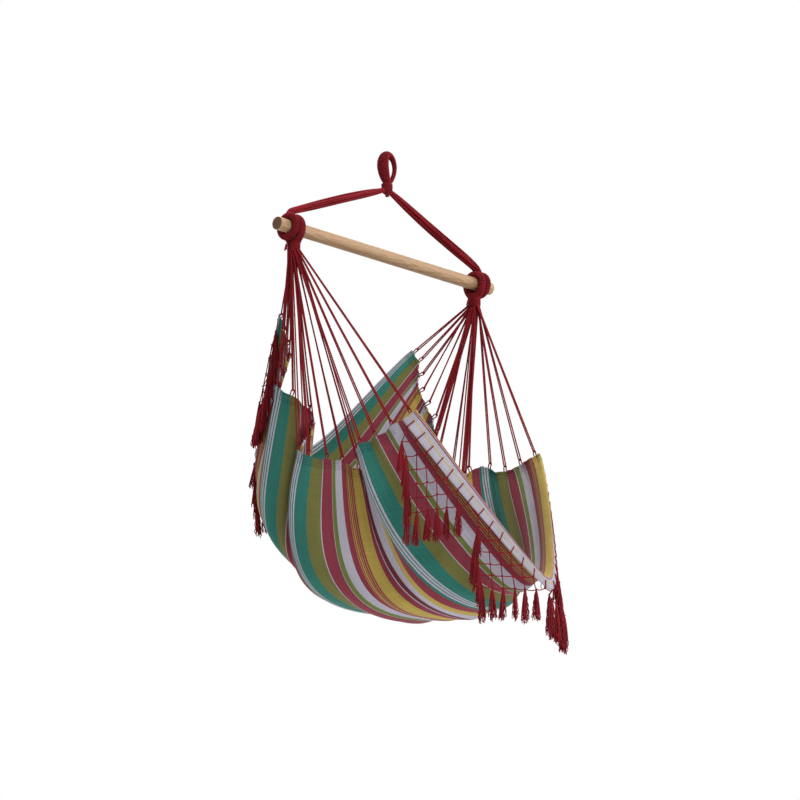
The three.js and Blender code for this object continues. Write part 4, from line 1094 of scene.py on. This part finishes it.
tassel_cotton = cotton_yarn("crimson tassel yarn", (0.27, 0.0085, 0.017, 1),
                            (0.10, 0.003, 0.006, 1), 700.0)
for name, net_place, edge_share, seed in (("front_fringe", front_net_place, 1.0, 11),
                                          ("back_fringe", back_net_place, 0.0, 31)):
    bunched_points = (0, 1) if name == "front_fringe" else ()
    random = np.random.default_rng(seed)
    edge_columns = even_columns(edge_share, net_points * point_stitches)
    knot_spots = {}
    for point in range(net_points):
        for row in range(point_stitches):
            for number in range(point_stitches - row):
                before = point * point_stitches + number + row // 2
                after = point * point_stitches + number + (row + 1) // 2
                column = (edge_columns[before] + edge_columns[after]) / 2
                spot = net_place(column, 0.003 + row * row_deep)
                bunched = point in bunched_points and number == 0 and 0 < row < point_stitches - 1
                spot = spot + front_sway * bunched * random.uniform(-0.002, 0.012)
                knot_spots[point, row, number] = spot + random.uniform(-.0014, .0014, 3) * (row > 0)
    strands = []
    root_spots = []
    drifts = []
    for (point, row, number), spot in knot_spots.items():
        last = point_stitches - row - 1
        for below, hangs_there in ((number, number < last), (number - 1, number > 0)):
            if hangs_there:
                slack = random.uniform(0.0006, 0.0036)
                stir = random.uniform(-0.0009, 0.0009, 3)
                strands.append(hung_strand(spot, knot_spots[point, row + 1, below], slack, stir))
        if row > 0 and number in (0, last):
            root_spots.append((point, row, number))
            drifted = point in bunched_points and number == 0 and row < point_stitches - 1
            drifts.append(front_sway * drifted * random.uniform(-0.001, 0.007))
        if row == 0 and number == last and point + 1 < net_points:
            between = edge_columns[point * point_stitches + number]
            beyond = edge_columns[(point + 1) * point_stitches]
            strands.append(np.array([net_place(between + (beyond - between) * t, 0.0022)
                                     for t in np.linspace(0, 1, 9)]))
    net = made_with(laid_cord, name + "_net", strands, cord_cotton, thick=strand_thick,
                    lay=0.009, step=0.002)
    tied_knots = made_with(knots, name + "_knots", [spot[None] for spot in knot_spots.values()],
                           cord_cotton, size=0.00078, seed=seed)
    hangs = []
    for (point, row, number), drift in zip(root_spots, drifts):
        if name == "front_fringe":
            far = down * tassel_long * (1 if point in bunched_points else 1.2) + drift
        else:
            column = edge_columns[point * point_stitches + number + row // 2]
            deep = row * row_deep
            far = net_place(column, deep + tassel_long) - net_place(column, deep)
            far = unit(far * 0.5 + down * np.linalg.norm(far) * 0.5) * tassel_long * 1.25
        hangs.append(far * random.uniform(0.94, 1.12) + random.uniform(-0.003, 0.003, 3))
    bunches = made_with(tassels, name + "_tassels", [knot_spots[root][None] for root in root_spots],
                        tassel_cotton, marks={"hang": np.array(hangs)}, seed=seed)
    for piece in (net, tied_knots, bunches):
        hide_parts(name)
        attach(piece, "seat")

# Studio: a plain white floor well below the hanging chair, white all round, and soft light from
# a large panel at the left, a weaker one at the right, and the room.
floor_z = -3.3
floor_half = 12
floor_mesh = bpy.data.meshes.new("studio_floor")
floor_mesh.from_pydata([(x * floor_half, y * floor_half, floor_z)
                        for x, y in ((-1, -1), (1, -1), (1, 1), (-1, 1))], [], [(0, 1, 2, 3)])
floor = new_object("studio_floor", floor_mesh)


def seen_directly(tree):
    """1 for what the camera sees by itself, in a shine or through something clear."""
    path = put(tree, "ShaderNodeLightPath").outputs
    seen = maths("MAXIMUM", path["Is Camera Ray"], path["Is Glossy Ray"])
    return maths("MAXIMUM", seen, path["Is Transmission Ray"])


pale_floor, tree, shader, place = new_material("pale floor")
dust = noise(place, 3.0, 2.0)
fill(tree, shader, {"Base Color": spread(dust, 0.86, 0.90), "Roughness": 0.9,
                    "Emission Color": (1, 1, 1, 1),
                    "Emission Strength": spread(seen_directly(tree), 0.0, 0.6)})
floor_mesh.materials.append(pale_floor)

world = bpy.data.worlds.new("white room")
bpy.context.scene.world = world
world.use_nodes = True
tree = world.node_tree
fill(tree, tree.nodes["Background"], {
    "Color": (1, 1, 1, 1), "Strength": spread(seen_directly(tree), 0.42, 1.0)})

lit_middle = Vector((0, 0, -0.7))
for name, place, power in (("panel_left", (-2.6, -5.2, 3.0), 260),
                           ("panel_right", (4.5, -2.8, 1.6), 150),
                           ("panel_top", (0.8, 1.8, 3.6), 190)):
    light = bpy.data.lights.new(name, "AREA")
    light.energy = power
    light.size = 3.0
    lamp = new_object(name, light)
    lamp.location = place
    lamp.rotation_euler = (Vector(place) - lit_middle).to_track_quat("Z", "Y").to_euler()

bpy.context.scene.view_settings.view_transform = "Standard"
